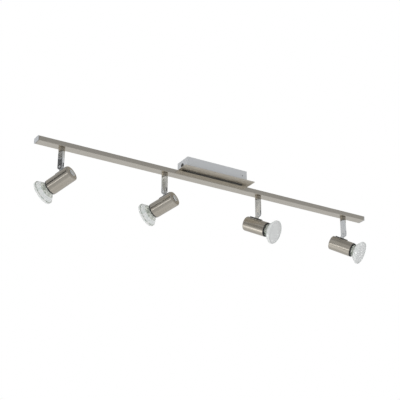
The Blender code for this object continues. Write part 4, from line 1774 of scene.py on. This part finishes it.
@dataclass
class Lamp:
    """The reflector lamp of one spot.

    Attributes:
        axes: where the spot is.
        face: where its front is along the axis, from the pin.
        rim: outer radius and height of its rim.
        cup: radius at the mouth, radius at the waist and depth of the cup.
        curve: how fast the cup narrows; 1 makes a plain cone.
        wall: thickness of its glass.
        lens: radius, thickness and set-back of the front glass.
        neck: radius of the neck, where it starts and where it ends.
        foot: radius of the foot and where it ends.
        pins: offset, stem radius, head radius, neck and whole length of the pins.
        facets: facets round the cup.
        dip: how far a facet's corner is drawn in, as a share of the radius.
        ribs: depth of the ribs round the rim.
        capsule: radius and length of the burner.
        coil: radius and turns of the filament.
        legs: radius and half distance of its legs.
    """

    axes: SpotAxes
    face: float = 0.0546
    rim: Pair = (0.0250, 0.0040)
    cup: Triple = (0.0236, 0.0130, 0.0162)
    curve: float = 1.25
    wall: float = 0.0014
    lens: Triple = (0.0236, 0.0027, 0.0002)
    neck: Triple = (0.0100, 0.0280, 0.0340)
    foot: Pair = (0.0084, 0.0468)
    pins: tuple[float, float, float, float, float] = (0.0050, 0.0014, 0.0023, 0.0040, 0.0062)
    facets: int = 22
    dip: float = 0.036
    ribs: float = 0.0004
    capsule: Pair = (0.0043, 0.0105)
    coil: tuple[float, int] = (0.0007, 6)
    legs: Pair = (0.00016, 0.0016)

    def build(self) -> None:
        """Builds and dresses the lamp's pieces."""
        k = self.axes.number
        place, body = self.axes.head_frame(), f"bulb_{k}"
        cup = self.make_cup()
        for finish in (COATED, MIRROR, SHADED_GLASS):
            cup.data.materials.append(finish.material)
        dress(cup, COATED, body, [f"lamp_{k}"], place)
        dress(self.make_foot(), CERAMIC, body, (), place)
        dress(self.make_pins(), ZINC, body, (), place)
        dress(self.make_lens(), FRONT, body, [f"lamp_lens_{k}"], place)
        dress(self.make_burner(), GLASS, body, (), place)
        dress(self.make_filament(), DARK, body, (), place)

    def on_axis(self) -> Matrix:
        """Gives the place of a turned piece whose zero is the lamp's face."""
        return Matrix.Translation((self.face, 0.0, -AXIS_DROP)) @ Z_TO_X

    def flare(self, start: float, end: float, wide: float, narrow: float, steps: int) -> list[Pair]:
        """Gives (radius, height) points of a cup that narrows faster and faster away from its mouth."""
        shares = [i / steps for i in range(steps + 1)]
        return [(wide - (wide - narrow) * s**self.curve, -start - (end - start) * s) for s in shares]

    def make_cup(self) -> bpy.types.Object:
        """Presses the glass cup, faceted inside and out, with its ribbed rim and smooth neck.

        Returns:
            The new object.
        """
        wide, waist, depth = self.cup
        outer, rim = self.rim
        seat, edge = self.lens[1] + GAP, self.lens[0] + GAP
        inside = self.flare(seat, depth - self.wall, wide - self.wall, waist - self.wall, 6)
        outside = self.flare(rim + 0.0006, depth, wide, waist, 5)
        profile = [(0.0, -depth)] + inside[::-1]
        mirror_rows = len(profile) - 1
        profile += [(edge, -seat), (edge, 0.0), (outer - 0.0006, 0.0), (outer, -0.0008), (outer, -rim)]
        shoulder_row = len(profile) - 1
        throat_row = len(profile) + len(outside) - 3
        profile += outside
        neck, start, end = self.neck
        profile += [(waist - 0.0004, -0.0225), (waist - 0.0008, -0.0268)]
        profile += [(neck, -start), (neck, -end), (0.0, -end)]
        bm = bmesh.new()
        count = 2 * self.facets
        rings = rings_of(bm, profile, count)
        for row, (first, second) in enumerate(zip(rings, rings[1:])):
            # the throat rows and the shoulder row take the darker glass, painted shade
            shaded = row >= throat_row or row == shoulder_row
            for face in span(bm, first, second, count):
                face.material_index = 1 if row < mirror_rows else 2 if shaded else 0
        self.press(rings, profile)
        bm.transform(self.on_axis())
        return piece_from(f"lamp_cup_{self.axes.number}", bm, radians(7.0))

    def press(self, rings: Rings, profile: Sequence[Pair]) -> None:
        """Raises the facets: every other column is drawn in, turned by half a facet from row to row.

        Args:
            rings: the cup's rows of points.
            profile: the (radius, height) of each row.
        """
        _, waist, depth = self.cup
        for row, (ring, (radius, height)) in enumerate(zip(rings, profile)):
            on_cup = radius > waist - self.wall - NEAR and -depth - NEAR < height < -self.lens[1]
            on_rim = abs(radius - self.rim[0]) < NEAR
            if not (on_cup or on_rim) or len(ring) == 1 or abs(radius - self.lens[0] - GAP) < NEAR:
                continue
            share = 1.0 - (self.ribs / radius if on_rim else self.dip)
            for vert in ring[row % 2::2]:
                vert.co.x *= share
                vert.co.y *= share

    def make_foot(self) -> bpy.types.Object:
        """Moulds the lamp's stepped foot.

        Returns:
            The new object.
        """
        start = self.neck[2]
        radius, end = self.foot
        step = radius + 0.0006
        corners = (
            (0.0, -start - 0.0001), (step, -start - 0.0001), (step, -start - 0.0020),
            (radius, -start - 0.0024), (radius, -end), (0.0, -end),
        )
        profile = filleted(corners, 0.0003, 3, False)
        return true_flats(turned(f"lamp_foot_{self.axes.number}", profile, 64, matrix=self.on_axis()))

    def make_pins(self) -> bpy.types.Object:
        """Turns the lamp's two headed pins.

        Returns:
            The new object.
        """
        offset, stem, head, neck, length = self.pins
        end = self.foot[1]
        corners = (
            (0.0, -end - 0.0001), (stem, -end - 0.0001), (stem, -end - neck), (head, -end - neck),
            (head, -end - length), (0.0, -end - length),
        )
        profile = filleted(corners, 0.0002, 2, False)
        made = []
        for side in SIDES:
            place = self.on_axis() @ Matrix.Translation((0.0, side * offset, 0.0))
            made.append(turned("pin", profile, 32, matrix=place))
        return merged(f"lamp_pins_{self.axes.number}", made)

    def make_lens(self) -> bpy.types.Object:
        """Presses the front glass, a little domed, with an eased edge.

        Returns:
            The new object.
        """
        radius, thickness, back = self.lens
        dome = [(radius * 0.96 * i / 8, -back - 0.0005 * (i / 8) ** 2) for i in range(8)]
        edge = ((radius, -back - 0.0006), (radius, -thickness), (0.0, -thickness))
        profile = dome + filleted(edge, 0.0003, 3, False)
        return turned(f"front_glass_{self.axes.number}", profile, matrix=self.on_axis())

    def make_burner(self) -> bpy.types.Object:
        """Blows the small capsule in the middle of the cup.

        Returns:
            The new object.
        """
        depth = self.cup[2] - 0.0003
        radius, length = self.capsule
        tip = arc((0.0, -depth + length), radius, pi / 2, 0.0, 8)
        profile = tip + [(radius, -depth + 0.003), (radius * 0.7, -depth), (0.0, -depth)]
        return turned(f"burner_{self.axes.number}", profile, 40, matrix=self.on_axis())

    def make_filament(self) -> bpy.types.Object:
        """Winds the filament on its two legs.

        Returns:
            The new object.
        """
        low, high, middle = (lift - self.cup[2] for lift in (0.0005, 0.0070, 0.0084))
        radius, turns = self.coil
        wire_radius, half = self.legs
        steps = 6 * turns
        points = [(half, 0.0, low), (half, 0.0, high)]
        for i in range(steps + 1):
            a = 2 * pi * i / 6
            points.append((half - 2 * half * i / steps, radius * sin(a), middle + radius * cos(a)))
        points += [(-half, 0.0, high), (-half, 0.0, low)]
        wire = tube(f"filament_{self.axes.number}", points, wire_radius)
        wire.data.transform(self.on_axis())
        return wire


# --- studio -----------------------------------------------------------------------------------------


@dataclass(frozen=True)
class Glow:
    """A brighter or darker patch of the soft surround.

    Attributes:
        direction: from the object to its middle.
        spread: from its middle to where it fades out, in degrees.
        change: of the surround's brightness at its middle.
    """

    direction: Triple
    spread: float
    change: float


@dataclass(frozen=True)
class SoftLight:
    """A soft lamp of the studio, that faces the object.

    Attributes:
        name: its name.
        direction: from the object to the light.
        distance: from the object, in metres.
        size: width and height of its face.
        radiance: the brightness of its face.
        roll: its turn about the line to the object, in degrees.
    """

    name: str
    direction: Triple
    distance: float
    size: Pair
    radiance: float
    roll: float = 0.0

    def place(self, centre: Vector) -> None:
        """Sets the light up, facing the object.

        Args:
            centre: the middle of the object.
        """
        data = bpy.data.lights.new(self.name, "AREA")
        data.shape = "RECTANGLE"
        data.size, data.size_y = self.size
        data.energy = self.radiance * pi * self.size[0] * self.size[1]
        obj = stand(self.name, data)
        away = Vector(self.direction).normalized()
        obj.location = centre + away * self.distance
        facing = away.to_track_quat("Z", "Y") @ Quaternion(UP, radians(self.roll))
        obj.rotation_euler = facing.to_euler()
        obj.visible_camera = False


@dataclass
class Studio:
    """The floor, the soft surround, the lights and the camera.

    Attributes:
        floor_z: height of the floor.
        floor_size: side of the floor.
        lens: the camera's focal length, in millimetres.
        eye: the camera's place.
        yaw: its turn from +Y towards +X, in degrees.
        pitch: its tilt upwards, in degrees.
        roll: its roll, in degrees.
        level: mean brightness of the surround.
        slope: how its brightness rises along X, Y and Z.
        glows: its brighter and darker patches.
        centre: the middle of the object.
        strip: the light along its side.
        flag: low and high corner of the black flag, from its place.
        flag_gap: how far the flag is from the arm.
    """

    floor_z: float = -2.5
    floor_size: float = 3.2
    lens: float = 94.56
    eye: Triple = (-1.02995, -1.70178, -0.92220)
    yaw: float = 30.444
    pitch: float = 23.118
    roll: float = 0.344
    level: float = 0.48
    slope: Triple = (0.05, 0.10, -0.12)
    glows: tuple[Glow, ...] = (
        Glow((-0.35, 0.82, 0.43), 32.0, 0.12),
        Glow((0.88, 0.25, 0.38), 34.0, 0.20),
        Glow((-0.96, 0.05, 0.29), 12.0, -0.40),
        Glow((-0.90, 0.14, 0.42), 10.0, 0.24),
        Glow((-0.84, -0.42, 0.38), 28.0, 0.16),
        Glow((-0.66, 0.56, -0.50), 24.0, 0.34),
        Glow((0.70, 0.27, 0.65), 24.0, -0.22),
    )
    centre: Triple = (0.0, 0.0, -0.07)
    strip: SoftLight = SoftLight("side_strip", (-0.907, 0.111, -0.407), 2.6, (2.8, 0.28), 1.25, 25.0)
    flag: tuple[Triple, Triple] = ((-0.002, -0.045, -0.52), (0.002, 0.030, 0.10))
    flag_gap: float = 0.6

    def build(self) -> None:
        """Sets up the whole studio."""
        self.make_floor()
        self.make_surround()
        self.make_camera()
        self.strip.place(Vector(self.centre))
        self.make_flag(Vector((-0.338, 0.0, -0.06)), Vector((-0.90, 0.10, 0.40)))

    def make_floor(self) -> None:
        """Lays a pale floor, with a faint mottle."""
        half, top = self.floor_size / 2, self.floor_z
        floor = slab("studio_floor", (-half, -half, top - 0.05), (half, half, top))
        bench = Bench("pale_floor")
        mottle = bench.noise(bench.coordinates(), 1.5, 3.0)
        colour = bench.ramp(mottle, ((0.3, (0.63, 0.63, 0.625)), (0.7, (0.68, 0.68, 0.675))))
        rough = bench.spread(mottle, 0.75, 0.85)
        floor.data.materials.append(bench.shade(Base_Color=colour, Roughness=rough))

    def make_flag(self, start: Vector, direction: Vector) -> None:
        """Hangs a narrow black flag that the first arm's side mirrors.

        Args:
            start: the point that sees it.
            direction: the way that it looks.
        """
        flag = slab("studio_flag", *self.flag)
        flag.matrix_world = Matrix.Translation(start + self.flag_gap * direction.normalized())
        bench = Bench("black_felt")
        nap = bench.noise(bench.coordinates(), 90.0, 3.0)
        colour = bench.ramp(nap, ((0.3, (0.010, 0.010, 0.010)), (0.7, (0.022, 0.022, 0.022))))
        flag.data.materials.append(bench.shade(Base_Color=colour, Roughness=bench.spread(nap, 0.9, 1.0)))
        flag.visible_camera = False

    def make_surround(self) -> None:
        """Makes the white surround, which polished surfaces see as softer and patched."""
        scene = bpy.context.scene
        scene.view_settings.view_transform = "Standard"
        world = bpy.data.worlds.new("studio_surround")
        world.use_nodes = True
        scene.world = world
        world.node_tree.nodes.clear()
        add = Nodes(world.node_tree).add
        way = add("TexCoord").outputs["Generated"]
        slope = add("VectorMath", {0: way, 1: self.slope}, operation="DOT_PRODUCT").outputs["Value"]
        level = add("Math", {0: slope, 1: self.level}).outputs[0]
        for glow in self.glows:
            middle = Vector(glow.direction).normalized()
            facing = add("VectorMath", {0: way, 1: middle}, operation="DOT_PRODUCT").outputs["Value"]
            fade = {0: facing, 1: cos(radians(glow.spread)), 2: 1.0, 3: 0.0, 4: glow.change}
            patch = add("MapRange", fade, interpolation_type="SMOOTHSTEP").outputs[0]
            level = add("Math", {0: level, 1: patch}).outputs[0]
        white = (*WHITE, 1.0)
        bright = add("Background", {0: white, 1: 1.0}).outputs[0]
        soft = add("Background", {0: white, 1: level}).outputs[0]
        glossy = add("LightPath").outputs["Is Glossy Ray"]
        mixed = add("MixShader", {0: glossy, 1: bright, 2: soft}).outputs[0]
        add("OutputWorld", {0: mixed})

    def make_camera(self) -> None:
        """Sets the camera at its place and angle."""
        yaw, pitch, roll = radians(self.yaw), radians(self.pitch), radians(self.roll)
        ahead = Vector((sin(yaw) * cos(pitch), cos(yaw) * cos(pitch), sin(pitch)))
        right = Vector((cos(yaw), -sin(yaw), 0.0))
        top = right.cross(ahead)
        turned_right = cos(roll) * right + sin(roll) * top
        turned_top = cos(roll) * top - sin(roll) * right
        data = bpy.data.cameras.new("studio_camera")
        data.lens = self.lens
        data.sensor_width = 36.0
        camera = stand("studio_camera", data)
        turn = Matrix((turned_right, turned_top, -ahead)).transposed().to_4x4()
        camera.matrix_world = Matrix.Translation(self.eye) @ turn
        bpy.context.scene.camera = camera


def main() -> None:
    logging.basicConfig(level=logging.INFO, format="%(name)s: %(message)s")
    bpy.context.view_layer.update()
    joints = {joint["name"]: joint for joint in frame["joints"]}
    spots = [SpotAxes.from_joints(number, joints) for number in range(1, 5)]
    Canopy().build()
    Rail().build([axes.swivel for axes in spots])
    for axes in spots:
        Arm(axes).build()
        Head(axes).build()
        Lamp(axes).build()
    Studio().build()


if __name__ == "__main__":
    main()
